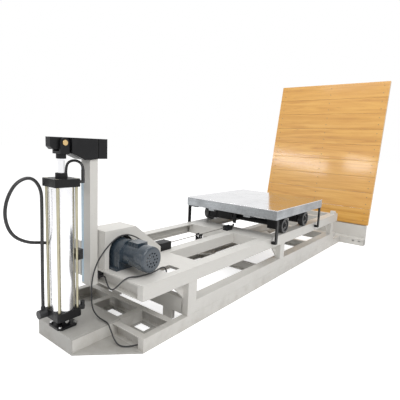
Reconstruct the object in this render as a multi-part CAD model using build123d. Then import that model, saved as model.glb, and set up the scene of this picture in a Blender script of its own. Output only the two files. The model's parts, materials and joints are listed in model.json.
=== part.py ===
from build123d import *
import math
import os

# Incline impact tester, millimetres, +Z up, +X from the lift column to the impact panel.
# The model is drawn with X = 0 at the near end of the base frame and moved to the
# middle of its footprint when it is written.

# Channel sections
CHANNEL_HEIGHT = 80.0
CHANNEL_FLANGE = 43.0
CHANNEL_WALL = 6.0
HALF_WIDTH = 420.0

# Base frame
BASE_LENGTH = 3230.0
BASE_CROSS_X = (227.0, 1480.0, 2600.0)
GUSSET_LEG = 150.0
GUSSET_THICKNESS = 10.0
NOSE_LENGTH = 260.0
NOSE_HALF_WIDTH = 164.0
NOSE_PLATE = 12.0
NOSE_PLATE_END = 57.0
NOSE_END_WALL = 6.0
FLOOR_PLATE = 12.0
WINDOW_X = (143.0, 212.0)
NEAR_WINDOW_Y = (170.0, 265.0)
CENTRE_WINDOW_Y = (-12.0, 110.0)

# Tilting frame
REST_GAP = 0.5
TILT_START = -11.0
TILT_BEYOND_PIVOT = 50.0
RAIL_BOTTOM = 290.0
TRACK_THICKNESS = 6.0
TRACK_WIDTH = 80.0
CHORD_SIZE = 80.0
CHORD_WALL = 5.0
POST_DEPTH = 50.0
POST_WALL = 5.0
POST_WIDTH = 80.0
POST_TO_PIVOT = 150.0
DECK_END = 508.0
DECK_OPENING_X = (225.0, 325.0)
DECK_OPENING_Y = (-372.0, -280.0)
CENTRE_BEAM_Y = (-110.0, -30.0)
CROSS_BEAM_TO_PIVOT = 300.0
COVER_STRIP_WIDTH = 210.0
BRACE_LEG = 105.0
BRACE_THICKNESS = 10.0
LEG_WIDTH = 80.0
LEG_FROM_CENTRE = 255.0
LEG_FOOT_HEIGHT = 20.0
LEG_DEPTH = 24.0
LOW_BEAM_HEIGHT = 100.0
STOP_LENGTH = 60.0
STOP_HEIGHT = 35.0
STOP_WIDTH = 50.0
STOP_END_MARGIN = 40.0

# Pivot of the tilting frame
PIVOT_FROM_BASE_END = 230.0
PIVOT_Z = 122.0
PIVOT_RADIUS = 15.0
PIVOT_CLEARANCE = 0.08
LUG_RADIUS = 36.0
LUG_THICKNESS = 12.0
BRACKET_THICKNESS = 20.0
LUG_SIDE_GAP = 3.0
LUG_LENGTH = 90.0
SHAFT_OVERHANG = 4.0

# Lift column, arm and scale
COLUMN_X = (-61.0, -11.0)
COLUMN_HALF_WIDTH = 40.0
COLUMN_WALL = 4.0
COLUMN_BOTTOM = 280.0
ARM_TOP = 1108.0
ARM_CAP_THICKNESS = 8.0
COLLAR_BOTTOM = 1000.0
COLLAR_END_X = 45.0
COLLAR_WALL = 10.0
COLLAR_SPLIT = 3.0
CHEEK_START_X = -172.0
CHEEK_DROP = 18.0
CHEEK_CORNER_X = -96.0
CHEEK_LIP = 5.0
TONGUE_START_X = -275.0
TONGUE_HALF_WIDTH = 22.0
TONGUE_BOTTOM = 1046.0
TONGUE_CHAMFER = 15.0
SCALE_WIDTH = 20.0
SCALE_THICKNESS = 2.0
SCALE_Z = (292.0, 955.0)

# Pneumatic cylinder
CYLINDER_X = -205.0
FOOT_PIN_Z = 125.0
TOP_PIN_Z = 1081.0
CAP_SIZE = 140.0
CAP_CHAMFER = 8.0
BOTTOM_CAP_Z = (147.0, 192.0)
TOP_CAP_Z = (858.0, 900.0)
BARREL_RADIUS = 64.0
BORE_RADIUS = 60.0
PISTON_LENGTH = 40.0
PISTON_CLEARANCE = 0.4
PISTON_REST_GAP = 4.0
ROD_RADIUS = 16.0
ROD_TOP = 1012.0
ROD_CLEARANCE = 0.4
GLAND_RADIUS = 30.0
GLAND_HEIGHT = 27.0
TIE_ROD_RADIUS = 7.0
TIE_ROD_OFFSET = 53.0
TIE_NUT_RADIUS = 12.0
TIE_NUT_HEIGHT = 11.0
EYE_HALF_WIDTH = 20.0
EYE_RADIUS = 20.0
FOOT_PIN_RADIUS = 11.0
CLEVIS_PLATE_SIZE = 118.0
CLEVIS_PLATE_THICKNESS = 12.0
CLEVIS_PLATE_CHAMFER = 18.0
CLEVIS_EAR_THICKNESS = 14.0
CLEVIS_EAR_GAP = 0.5
CLEVIS_BOLT_OFFSET = 44.0
CLEVIS_BOLT_RADIUS = 5.0
CLEVIS_HEAD_RADIUS = 9.0
CLEVIS_HEAD_HEIGHT = 8.0
PIN_OVERHANG = 4.0
PIN_FIT = 0.08

# Rod fork and top pin
FORK_HALF_WIDTH = 38.0
FORK_DEPTH = 50.0
FORK_GAP = 2.0
FORK_BOTTOM = 1000.0
FORK_CROTCH = 1038.0
TOP_PIN_RADIUS = 11.0
TOP_PIN_HEAD = 6.0
TONGUE_HOLE_CLEARANCE = 9.0
ROD_NUT_RADIUS = 22.0
ROD_NUT_HEIGHT = 10.0

# Valves, fittings and hoses
VALVE_WIDTH = 42.0
VALVE_DEPTH = 40.0
VALVE_Z = (452.0, 508.0)
STRAP_THICKNESS = 6.0
STRAP_HEIGHT = 24.0
VALVE_PLATE_Y = (120.0, 190.0)
VALVE_PLATE_TOP = 505.0
EXHAUST_RADIUS = 23.0
EXHAUST_LENGTH = 44.0
EXHAUST_Y = 50.0
EXHAUST_Z = 170.0
ELBOW_RADIUS = 10.0
ELBOW_REACH = 42.0
TOP_ELBOW_Y = -35.0
TOP_ELBOW_Z = 880.0
TOP_ELBOW_HEIGHT = 62.0
HOSE_RADIUS = 8.5
TOP_HOSE_RADIUS = 7.0
CABLE_RADIUS = 4.0
GLAND_WALL = 4.0
JUNCTION_SIZE = 36.0

# Winch
HOOD_Y = (-100.0, 50.0)
HOOD_X = (-5.0, 437.0)
HOOD_TOP = 601.0
HOOD_TOP_END_X = 218.0
HOOD_NOSE_TOP = 430.0
HOOD_WALL = 3.0
WINCH_X = 115.0
WINCH_Z = 470.0
HOOD_ARCH_RADIUS = 92.0
GEARBOX_Y = (-162.0, -43.0)
GEARBOX_RADIUS = 75.0
GEARBOX_WALL = 12.0
GEARBOX_FOOT_HALF = 88.0
GEARBOX_FOOT_THICKNESS = 16.0
MOTOR_END_Y = -290.0
MOTOR_RADIUS = 66.0
MOTOR_WALL = 8.0
RING_RADIUS = 78.0
RING_LENGTH = 10.0
FAN_COVER_END_Y = -352.0
FAN_COVER_RADIUS = 74.0
FAN_COVER_WALL = 3.0
TERMINAL_BOX_Y = (-275.0, -195.0)
TERMINAL_BOX_HALF = 36.0
TERMINAL_BOX_TOP = 552.0
ROTOR_RADIUS = 40.0
MOTOR_SHAFT_RADIUS = 10.0
FAN_RADIUS = 60.0
FAN_LENGTH = 18.0
DRUM_RADIUS = 65.0
DRUM_FLANGE_RADIUS = 90.0
DRUM_Y = (-36.0, 18.0)
DRUM_FLANGE = 5.0
DRUM_SHAFT_RADIUS = 15.0
BEARING_WIDTH = 20.0
BEARING_Y = 24.0
BEARING_HALF = 40.0

# Rope and its guides
ROPE_Y = -9.0
ROPE_RADIUS = 3.0
ROPE_DRUM_GAP = 0.3
ROPE_SLOT = 13.0
ROPE_HOLE = 8.0
ROPE_Z = WINCH_Z - DRUM_RADIUS - ROPE_RADIUS - ROPE_DRUM_GAP
GUIDE_BLOCK_X = (470.0, 580.0)
GUIDE_BLOCK_Y = (-62.0, 12.0)
GUIDE_BLOCK_TOP = 430.0
ROLLER_X = 957.0
ROLLER_RADIUS = 11.0
ROLLER_WIDTH = 26.0
ROLLER_PIN_RADIUS = 4.0
ROLLER_EAR = 5.0
HOOK_BLOCK_X = (1318.0, 1400.0)
HOOK_BLOCK_HALF = 22.0
HOOK_LENGTH = 70.0
HOOK_PIN_RADIUS = 4.0
HOOK_PIN_INSET = 18.0

# Sled
SLED_X = (1361.0, 2354.0)
SLED_HALF_WIDTH = 464.0
SLED_TOP = 611.0
SLED_SKIRT = 78.0
SLED_PLATE = 6.0
SKIRT_WALL = 6.0
BEARER_HALF = 30.0
BEARER_FROM_CENTRE = 185.0
BEARER_DROP = 18.0
TOW_SET_BACK = 95.0
TOW_THICKNESS = 12.0
TOW_HALF_WIDTH = 14.0
TOW_ABOVE_ROPE = 22.0
UNIT_Y = (60.0, 230.0)
UNIT_LENGTH = 80.0
UNIT_HEIGHT = 88.0
UNIT_AXLE_GAP = 4.0
WHEEL_RADIUS = 68.0
WHEEL_GAP = 0.3
WHEEL_WIDTH = 54.0
WHEEL_FROM_CENTRE = 390.0
WHEEL_X = (1640.0, 2080.0)
WHEEL_BORE = 15.0
AXLE_CLEARANCE = 0.08
AXLE_TUBE_RADIUS = 28.0
HOUSING_LENGTH = 120.0
HOUSING_WIDTH = 84.0
HOUSING_GAP = 6.0
HOUSING_BOTTOM = 408.0
GUIDE_X_MARGIN = 16.0
GUIDE_BAR_WIDTH = 34.0
GUIDE_BAR_THICKNESS = 12.0
GUIDE_BOTTOM = 330.0
GUIDE_SIDE_GAP = 4.0
GUIDE_FOOT_HEIGHT = 20.0
GUIDE_TOP_ARM = 110.0

# Impact panel
PANEL_SET_BACK = 27.0
PANEL_BOTTOM_Z = 232.0
PANEL_HALF_WIDTH = 692.0
PANEL_LENGTH = 1748.0
PANEL_LEAN = 10.0
BOARD_COUNT = 9
BOARD_GAP = 1.5
BOARD_THICKNESS = 42.0
PANEL_TUBE = 60.0
PANEL_TUBE_WALL = 4.0
PANEL_TUBE_INSET = 30.0
FOOT_BEAM_DEPTH = 80.0
KICK_THICKNESS = 12.0
KICK_TOP = 228.0
ANCHOR_RADIUS = 11.0
ANCHOR_FROM_END = 47.0
ANCHOR_SPACING = 69.0
ANCHOR_Z = 50.0
REAR_BEAM_Y = 400.0
REAR_BEAM_WIDTH = 80.0
REAR_BEAM_LENGTH = 828.0
STRUT_TOP_ALONG = 1240.0
STRUT_SIZE = 60.0
STRUT_JOINT = 72.0
SCREW_RADIUS = 7.0
SCREW_HEAD = 1.5

# Places that follow from the sizes above
BASE_TOP = CHANNEL_HEIGHT
PIVOT_X = BASE_LENGTH - PIVOT_FROM_BASE_END
TILT_END = PIVOT_X + TILT_BEYOND_PIVOT
POST_X = (354.0, 1570.0, PIVOT_X - POST_TO_PIVOT)
CROSS_BEAM_X = (1300.0, 1467.0, PIVOT_X - CROSS_BEAM_TO_PIVOT)
FOOT_BEAM_X = (BASE_LENGTH, BASE_LENGTH + FOOT_BEAM_DEPTH)
KICK_BACK_X = FOOT_BEAM_X[1] + KICK_THICKNESS
PANEL_FRONT_X = KICK_BACK_X + PANEL_SET_BACK
REAR_LENGTH = KICK_BACK_X + REAR_BEAM_LENGTH
ANCHOR_Y = (PANEL_HALF_WIDTH - ANCHOR_FROM_END - ANCHOR_SPACING, PANEL_HALF_WIDTH - ANCHOR_FROM_END)
RAIL_TOP = RAIL_BOTTOM + CHANNEL_HEIGHT
TRACK_TOP = RAIL_TOP + TRACK_THICKNESS
RAIL_INNER = HALF_WIDTH - CHANNEL_FLANGE
NOSE_TOP = BASE_TOP + NOSE_PLATE
CHORD_BOTTOM = BASE_TOP + REST_GAP
CHORD_TOP = CHORD_BOTTOM + CHORD_SIZE
CHORD_INNER = HALF_WIDTH - CHORD_SIZE
POST_INNER = HALF_WIDTH - POST_DEPTH
MODEL_START_X = min(-NOSE_LENGTH, TONGUE_START_X, CYLINDER_X - CAP_SIZE / 2 - EXHAUST_LENGTH)
MODEL_MIDDLE_X = (REAR_LENGTH + MODEL_START_X) / 2
WHEEL_Z = TRACK_TOP + WHEEL_RADIUS + WHEEL_GAP
SLED_SKIRT_BOTTOM = SLED_TOP - SLED_SKIRT
LUG_OUTER = HALF_WIDTH - 4.0
BRACKET_OUTER = LUG_OUTER - LUG_THICKNESS - LUG_SIDE_GAP
BRACKET_INNER = BRACKET_OUTER - BRACKET_THICKNESS


def box(x0, x1, y0, y1, z0, z1):
    """Block between two corners."""
    middle = ((x0 + x1) / 2, (y0 + y1) / 2, (z0 + z1) / 2)
    return Pos(*middle) * Box(abs(x1 - x0), abs(y1 - y0), abs(z1 - z0))


def round_x(x0, x1, y, z, radius):
    """Round bar along X."""
    return Pos((x0 + x1) / 2, y, z) * Rot(0, 90, 0) * Cylinder(radius, abs(x1 - x0))


def round_y(x, y0, y1, z, radius):
    """Round bar along Y."""
    return Pos(x, (y0 + y1) / 2, z) * Rot(90, 0, 0) * Cylinder(radius, abs(y1 - y0))


def round_z(x, y, z0, z1, radius):
    """Round bar along Z."""
    return Pos(x, y, (z0 + z1) / 2) * Cylinder(radius, abs(z1 - z0))


def hexagon_z(x, y, z0, z1, radius):
    """Hexagon bar along Z, its radius measured to the corners."""
    return Pos(x, y, z0) * extrude(RegularPolygon(radius, 6), z1 - z0)


def side_plate(points, y0, y1):
    """Plate whose outline is given in X and Z, between two Y values."""
    corners = [Vector(x, y0, z) for x, z in points]
    face = Face(Wire.make_polygon(corners, close=True))
    return extrude(face, y1 - y0, dir=(0, 1, 0))


def flat_plate(points, z0, z1):
    """Plate whose outline is given in X and Y, between two Z values."""
    corners = [Vector(x, y, z0) for x, y in points]
    face = Face(Wire.make_polygon(corners, close=True))
    return extrude(face, z1 - z0, dir=(0, 0, 1))


def other_side(shape):
    """The same piece on the far side of the machine."""
    return shape.mirror(Plane.XZ)


def both_sides(shape):
    """A piece and its mirror image on the far side."""
    return [shape, other_side(shape)]


def channel_x(x0, x1, y_web, inward, z0, z1, flange=CHANNEL_FLANGE):
    """Channel along X: web at y_web, flanges towards inward (+1 or -1)."""
    outer = box(x0, x1, y_web, y_web + inward * flange, z0, z1)
    hollow = box(x0 - 1, x1 + 1, y_web + inward * CHANNEL_WALL, y_web + inward * (flange + 1),
                 z0 + CHANNEL_WALL, z1 - CHANNEL_WALL)
    return outer - hollow


def channel_y(y0, y1, x_web, inward, z0, z1, flange=CHANNEL_FLANGE):
    """Channel along Y: web at x_web, flanges towards inward (+1 or -1)."""
    outer = box(x_web, x_web + inward * flange, y0, y1, z0, z1)
    hollow = box(x_web + inward * CHANNEL_WALL, x_web + inward * (flange + 1), y0 - 1, y1 + 1,
                 z0 + CHANNEL_WALL, z1 - CHANNEL_WALL)
    return outer - hollow


def tube_z(x0, x1, y0, y1, z0, z1, wall):
    """Upright rectangular tube."""
    return box(x0, x1, y0, y1, z0, z1) - box(x0 + wall, x1 - wall, y0 + wall, y1 - wall, z0 - 1, z1 + 1)


def tube_x(x0, x1, y0, y1, z0, z1, wall):
    """Rectangular tube along X."""
    return box(x0, x1, y0, y1, z0, z1) - box(x0 - 1, x1 + 1, y0 + wall, y1 - wall, z0 + wall, z1 - wall)


def tube_y(x0, x1, y0, y1, z0, z1, wall):
    """Rectangular tube along Y."""
    return box(x0, x1, y0, y1, z0, z1) - box(x0 + wall, x1 - wall, y0 - 1, y1 + 1, z0 + wall, z1 - wall)


def cord(name, points, radius):
    """Round cord along straight runs joined by arcs as large as the runs allow."""
    path_points = [Vector(*point) for point in points]
    runs = [(b - a) for a, b in zip(path_points, path_points[1:])]
    radii = []
    for before, after in zip(runs, runs[1:]):
        turn = math.radians(before.get_angle(after))
        radii.append(0.45 * min(before.length, after.length) / math.tan(turn / 2))
    path = FilletPolyline(*path_points, radius=radii)
    start = Plane(origin=path_points[0], z_dir=runs[0].normalized())
    solid = sweep(start * Circle(radius), path=path)
    share = solid.volume / (math.pi * radius ** 2 * path.length)
    print(name, "length", round(path.length), "radii", [round(r) for r in radii], "volume share", round(share, 4))
    return solid


def base_rails():
    """Two long channels on the floor, closed at their near ends."""
    near = channel_x(0, BASE_LENGTH, -HALF_WIDTH, 1, 0, BASE_TOP)
    near += box(0, CHANNEL_WALL, -HALF_WIDTH, -RAIL_INNER, 0, BASE_TOP)
    return both_sides(near)


def base_cross_members():
    """End channels, nose stringers and cross members of the base frame."""
    pieces = []
    end = channel_y(-RAIL_INNER, -NOSE_HALF_WIDTH, CHANNEL_FLANGE, -1, 0, BASE_TOP)
    pieces += both_sides(end)
    stringer = channel_x(NOSE_END_WALL - NOSE_LENGTH, BASE_CROSS_X[0], -NOSE_HALF_WIDTH, 1, 0, BASE_TOP)
    pieces += both_sides(stringer)
    for x in BASE_CROSS_X:
        pieces.append(channel_y(-RAIL_INNER, RAIL_INNER, x + CHANNEL_FLANGE, -1, 0, BASE_TOP))
    return pieces + base_gussets()


def nose_cover():
    """Top plate and end wall of the nose that carries the cylinder."""
    top = box(-NOSE_LENGTH, NOSE_PLATE_END, -NOSE_HALF_WIDTH, NOSE_HALF_WIDTH, BASE_TOP, NOSE_TOP)
    wall = box(-NOSE_LENGTH, NOSE_END_WALL - NOSE_LENGTH, -NOSE_HALF_WIDTH, NOSE_HALF_WIDTH, 0, BASE_TOP)
    return [top + wall]


def nose_floor_plate():
    """Plates at floor level: two wings beside the nose and three inside the frame, with windows."""
    wing = flat_plate([(-NOSE_LENGTH, -NOSE_HALF_WIDTH), (0, -HALF_WIDTH), (0, -NOSE_HALF_WIDTH)], 0, FLOOR_PLATE)
    side = box(CHANNEL_FLANGE, BASE_CROSS_X[0], -RAIL_INNER, -NOSE_HALF_WIDTH, 0, FLOOR_PLATE)
    side -= box(*WINDOW_X, -NEAR_WINDOW_Y[1], -NEAR_WINDOW_Y[0], -1, FLOOR_PLATE + 1)
    inner = NOSE_HALF_WIDTH - CHANNEL_FLANGE
    centre = box(NOSE_PLATE_END, BASE_CROSS_X[0], -inner, inner, 0, FLOOR_PLATE)
    centre -= box(*WINDOW_X, *CENTRE_WINDOW_Y, -1, FLOOR_PLATE + 1)
    return both_sides(wing) + both_sides(side) + [centre]


def base_gussets():
    """Triangular plates in the corners of the cross members, level with their top flanges."""
    pieces = []
    top = BASE_TOP
    for x in BASE_CROSS_X[1:]:
        corner_y = -RAIL_INNER
        outline = [(x, corner_y), (x, corner_y + GUSSET_LEG), (x - GUSSET_LEG, corner_y)]
        pieces += both_sides(flat_plate(outline, top - GUSSET_THICKNESS, top))
        start = x + CHANNEL_FLANGE
        outline = [(start, corner_y), (start + GUSSET_LEG, corner_y), (start, corner_y + GUSSET_LEG)]
        pieces += both_sides(flat_plate(outline, top - GUSSET_THICKNESS, top))
    return pieces


def cylinder_clevis():
    """Foot plate with two ears for the cylinder's eye."""
    half = CLEVIS_PLATE_SIZE / 2
    plate_top = NOSE_TOP + CLEVIS_PLATE_THICKNESS
    plate = box(CYLINDER_X - half, CYLINDER_X + half, -half, half, NOSE_TOP, plate_top)
    plate = chamfer(plate.edges().filter_by(Axis.Z), CLEVIS_PLATE_CHAMFER)
    ear_inner = EYE_HALF_WIDTH + CLEVIS_EAR_GAP
    ear_outer = ear_inner + CLEVIS_EAR_THICKNESS
    ear = box(CYLINDER_X - EYE_RADIUS, CYLINDER_X + EYE_RADIUS, -ear_outer, -ear_inner, plate_top, FOOT_PIN_Z)
    ear += round_y(CYLINDER_X, -ear_outer, -ear_inner, FOOT_PIN_Z, EYE_RADIUS)
    body = plate + ear + other_side(ear)
    body -= round_y(CYLINDER_X, -half, half, FOOT_PIN_Z, FOOT_PIN_RADIUS)
    for x, y in clevis_bolt_places():
        body -= round_z(x, y, NOSE_TOP - 1, plate_top + 1, CLEVIS_BOLT_RADIUS)
    return [body]


def clevis_bolt_places():
    """Centres of the four foot bolts."""
    step = CLEVIS_BOLT_OFFSET
    return [(CYLINDER_X + i * step, j * step) for i in (-1, 1) for j in (-1, 1)]


def clevis_fasteners():
    """Pin through the foot clevis and the four hexagon bolts of its plate."""
    reach = EYE_HALF_WIDTH + CLEVIS_EAR_GAP + CLEVIS_EAR_THICKNESS + PIN_OVERHANG
    pieces = [round_y(CYLINDER_X, -reach, reach, FOOT_PIN_Z, FOOT_PIN_RADIUS)]
    plate_top = NOSE_TOP + CLEVIS_PLATE_THICKNESS
    for x, y in clevis_bolt_places():
        head = hexagon_z(x, y, plate_top, plate_top + CLEVIS_HEAD_HEIGHT, CLEVIS_HEAD_RADIUS)
        pieces.append(head + round_z(x, y, NOSE_TOP, plate_top, CLEVIS_BOLT_RADIUS))
    return pieces


def pivot_brackets():
    """Upright plates on the base rails that carry the pivot shaft."""
    plate = box(PIVOT_X - LUG_RADIUS, PIVOT_X + LUG_RADIUS, -BRACKET_OUTER, -BRACKET_INNER, BASE_TOP, PIVOT_Z)
    plate += round_y(PIVOT_X, -BRACKET_OUTER, -BRACKET_INNER, PIVOT_Z, LUG_RADIUS)
    plate -= round_y(PIVOT_X, -HALF_WIDTH, 0, PIVOT_Z, PIVOT_RADIUS + PIVOT_CLEARANCE)
    return both_sides(plate)


def panel_foot_beam():
    """Cross beam under the panel with an upright kick plate and its anchor holes."""
    x0, x1 = FOOT_BEAM_X
    beam = tube_y(x0, x1, -PANEL_HALF_WIDTH, PANEL_HALF_WIDTH, 0, BASE_TOP, CHORD_WALL)
    kick = box(x1, x1 + KICK_THICKNESS, -PANEL_HALF_WIDTH, PANEL_HALF_WIDTH, 0, KICK_TOP)
    body = beam + kick
    for y in ANCHOR_Y:
        for side in (-1, 1):
            body -= round_x(x0 - 1, x1 + KICK_THICKNESS + 1, side * y, ANCHOR_Z, ANCHOR_RADIUS)
    return [body]


def lean_shift(z):
    """How far the panel's front stands back at a height."""
    return (z - PANEL_BOTTOM_Z) * math.tan(math.radians(PANEL_LEAN))


def panel_frame_point(along, depth):
    """X and Z of a point on the leaning panel: distance up the slope, depth behind the front."""
    lean = math.radians(PANEL_LEAN)
    x = PANEL_FRONT_X + along * math.sin(lean) + depth * math.cos(lean)
    z = PANEL_BOTTOM_Z + along * math.cos(lean) - depth * math.sin(lean)
    return x, z


def leaning_block(along0, along1, depth0, depth1, y0, y1):
    """Block that lies in the leaning panel."""
    outline = [panel_frame_point(along0, depth0), panel_frame_point(along1, depth0),
               panel_frame_point(along1, depth1), panel_frame_point(along0, depth1)]
    return side_plate(outline, y0, y1)


def panel_brace_frame():
    """Floor beams behind the panel, their cross beam and the raking struts."""
    x0 = KICK_BACK_X
    inner = REAR_BEAM_Y - REAR_BEAM_WIDTH / 2
    outer = REAR_BEAM_Y + REAR_BEAM_WIDTH / 2
    beam = box(x0, REAR_LENGTH - REAR_BEAM_WIDTH, -outer, -inner, 0, BASE_TOP)
    rear = tube_y(REAR_LENGTH - REAR_BEAM_WIDTH, REAR_LENGTH, -outer, outer, 0, BASE_TOP, CHORD_WALL)
    depth = BOARD_THICKNESS + PANEL_TUBE
    top = panel_frame_point(STRUT_TOP_ALONG, depth)
    below = panel_frame_point(STRUT_TOP_ALONG - STRUT_JOINT, depth)
    foot_x = REAR_LENGTH - REAR_BEAM_WIDTH
    strut = side_plate([top, below, (foot_x - STRUT_SIZE, BASE_TOP), (foot_x, BASE_TOP)],
                       -REAR_BEAM_Y - STRUT_SIZE / 2, -REAR_BEAM_Y + STRUT_SIZE / 2)
    side = beam + strut
    return [side + other_side(side) + rear]


def panel_rear_frame():
    """Welded steel frame behind the boards: uprights, cross bars and the feet of the uprights."""
    start = BOARD_THICKNESS
    end = start + PANEL_TUBE
    outer = PANEL_HALF_WIDTH - PANEL_TUBE_INSET
    top = PANEL_LENGTH - PANEL_TUBE_INSET
    frame = leaning_block(0, top, start, end, -outer, -outer + PANEL_TUBE)
    frame += other_side(frame)
    for y in (-REAR_BEAM_Y, REAR_BEAM_Y):
        frame += leaning_block(0, top, start, end, y - PANEL_TUBE / 2, y + PANEL_TUBE / 2)
    for along in (0, (STRUT_TOP_ALONG - PANEL_TUBE) / 2, STRUT_TOP_ALONG - PANEL_TUBE, top - PANEL_TUBE):
        frame += leaning_block(along, along + PANEL_TUBE, start, end, -outer, outer)
    sill_back = panel_frame_point(0, end)[0]
    sill = box(KICK_BACK_X, sill_back, -outer, outer, BASE_TOP, KICK_TOP)
    hollow = box(KICK_BACK_X - 1, sill_back + 1, -outer + PANEL_TUBE, outer - PANEL_TUBE,
                 BASE_TOP - 1, KICK_TOP - PANEL_TUBE)
    sill -= hollow
    for y in (-REAR_BEAM_Y, REAR_BEAM_Y):
        sill += box(KICK_BACK_X, sill_back, y - PANEL_TUBE / 2, y + PANEL_TUBE / 2, BASE_TOP, KICK_TOP)
    boards = leaning_block(-PANEL_TUBE, PANEL_LENGTH, -PANEL_TUBE, start, -PANEL_HALF_WIDTH, PANEL_HALF_WIDTH)
    return [frame + (sill - boards)]


def panel_boards():
    """Wooden boards, one above the other, with a thin gap between them."""
    pieces = []
    pitch = PANEL_LENGTH / BOARD_COUNT
    for i in range(BOARD_COUNT):
        top = (i + 1) * pitch - (BOARD_GAP if i < BOARD_COUNT - 1 else 0)
        pieces.append(leaning_block(i * pitch, top, 0, BOARD_THICKNESS, -PANEL_HALF_WIDTH, PANEL_HALF_WIDTH))
    return pieces


def panel_screws():
    """Flat screw heads on the boards, in columns over the uprights."""
    pieces = []
    pitch = PANEL_LENGTH / BOARD_COUNT
    edge = PANEL_HALF_WIDTH - PANEL_TUBE_INSET - PANEL_TUBE / 2
    lean = 90 - PANEL_LEAN
    for i in range(BOARD_COUNT):
        for share in (0.25, 0.75):
            x, z = panel_frame_point((i + share) * pitch, -SCREW_HEAD / 2)
            for y in (-edge, 0, edge):
                pieces.append(Pos(x, y, z) * Rot(0, -lean, 0) * Rot(0, 180, 0) * Cylinder(SCREW_RADIUS, SCREW_HEAD))
    return pieces


def tilt_rails():
    """Top rails of the tilting frame, closed at both ends."""
    near = channel_x(TILT_START, TILT_END, -HALF_WIDTH, 1, RAIL_BOTTOM, RAIL_TOP)
    for x in (TILT_START, TILT_END - CHANNEL_WALL):
        near += box(x, x + CHANNEL_WALL, -HALF_WIDTH, -RAIL_INNER, RAIL_BOTTOM, RAIL_TOP)
    return both_sides(near)


def track_plates():
    """Flat running tracks of the sled on top of the rails."""
    near = box(DECK_END, TILT_END, -HALF_WIDTH, TRACK_WIDTH - HALF_WIDTH, RAIL_TOP, TRACK_TOP)
    return both_sides(near)


def tilt_chords():
    """Lower chords of the tilting frame with the lugs of the pivot."""
    chord_end = PIVOT_X - LUG_RADIUS - LUG_SIDE_GAP
    near = tube_x(POST_X[0] + POST_WIDTH, chord_end, -HALF_WIDTH, -CHORD_INNER, CHORD_BOTTOM, CHORD_TOP, CHORD_WALL)
    near += box(chord_end - CHORD_WALL, chord_end, -HALF_WIDTH, -CHORD_INNER, CHORD_BOTTOM, CHORD_TOP)
    low = PIVOT_Z - LUG_RADIUS
    for outer in (LUG_OUTER, BRACKET_INNER - LUG_SIDE_GAP):
        lug = box(chord_end, PIVOT_X, -outer, LUG_THICKNESS - outer, low, PIVOT_Z + LUG_RADIUS)
        lug += round_y(PIVOT_X, -outer, LUG_THICKNESS - outer, PIVOT_Z, LUG_RADIUS)
        near += lug
    near -= round_y(PIVOT_X, -HALF_WIDTH, -CHORD_INNER + LUG_THICKNESS, PIVOT_Z, PIVOT_RADIUS)
    return both_sides(near)


def tilt_posts():
    """Posts between chord and rail, their corner braces, the low cross beams and the rest legs."""
    pieces = []
    for i, x in enumerate(POST_X):
        bottom = CHORD_BOTTOM if i == 0 else CHORD_TOP
        post = tube_z(x, x + POST_WIDTH, -HALF_WIDTH, -POST_INNER, bottom, RAIL_BOTTOM, POST_WALL)
        brace = side_plate([(x, RAIL_BOTTOM), (x, RAIL_BOTTOM - BRACE_LEG), (x - BRACE_LEG, RAIL_BOTTOM)],
                           -POST_INNER - BRACE_THICKNESS, -POST_INNER)
        pieces += both_sides(post + brace)
    x = POST_X[0]
    beam = box(x, x + CHANNEL_FLANGE, -POST_INNER, POST_INNER, CHORD_BOTTOM, CHORD_BOTTOM + LOW_BEAM_HEIGHT)
    for y in (-LEG_FROM_CENTRE, LEG_FROM_CENTRE):
        beam += box(x, x + LEG_DEPTH, y - LEG_WIDTH / 2, y + LEG_WIDTH / 2, LEG_FOOT_HEIGHT, CHORD_BOTTOM)
    x = POST_X[-1]
    rear = tube_y(x, x + CHANNEL_FLANGE, -CHORD_INNER, CHORD_INNER, CHORD_BOTTOM, CHORD_TOP, POST_WALL)
    return pieces + [beam, rear]


def end_beam():
    """Channel across the near end, open outwards, with the valve plate beside the column."""
    beam = channel_y(-RAIL_INNER, RAIL_INNER, TILT_START + CHANNEL_FLANGE, -1, RAIL_BOTTOM, RAIL_TOP)
    plate = box(TILT_START - POST_WALL, TILT_START, *VALVE_PLATE_Y, RAIL_BOTTOM + POST_WALL, VALVE_PLATE_TOP)
    plate += box(TILT_START, TILT_START + POST_WALL, *VALVE_PLATE_Y, TRACK_TOP, VALVE_PLATE_TOP)
    return [beam, plate]


def centre_beam():
    """Beam under the rope, from the deck to the first cross beam."""
    top = TRACK_TOP
    return [tube_x(DECK_END, CROSS_BEAM_X[0], *CENTRE_BEAM_Y, top - CHANNEL_HEIGHT, top, POST_WALL)]


def cross_beams():
    """Channels across the tilting frame and the cover strip under the sled."""
    pieces = []
    starts = (DECK_END - CHANNEL_FLANGE, *CROSS_BEAM_X, TILT_END - CHANNEL_FLANGE)
    for x in starts:
        pieces.append(channel_y(-RAIL_INNER, RAIL_INNER, x, 1, RAIL_BOTTOM, RAIL_TOP))
    strip_x = CROSS_BEAM_X[0]
    inner = HALF_WIDTH - TRACK_WIDTH
    pieces.append(box(strip_x, strip_x + COVER_STRIP_WIDTH, -inner, inner, RAIL_TOP, TRACK_TOP))
    return pieces


def deck_plate():
    """Deck under the winch, with its opening."""
    plate = box(TILT_START, DECK_END, -HALF_WIDTH, HALF_WIDTH, RAIL_TOP, TRACK_TOP)
    plate -= box(*DECK_OPENING_X, *DECK_OPENING_Y, RAIL_TOP - 1, TRACK_TOP + 1)
    plate -= box(COLUMN_X[0], COLUMN_X[1], -COLUMN_HALF_WIDTH, COLUMN_HALF_WIDTH, RAIL_TOP - 1, TRACK_TOP + 1)
    return [plate]


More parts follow.
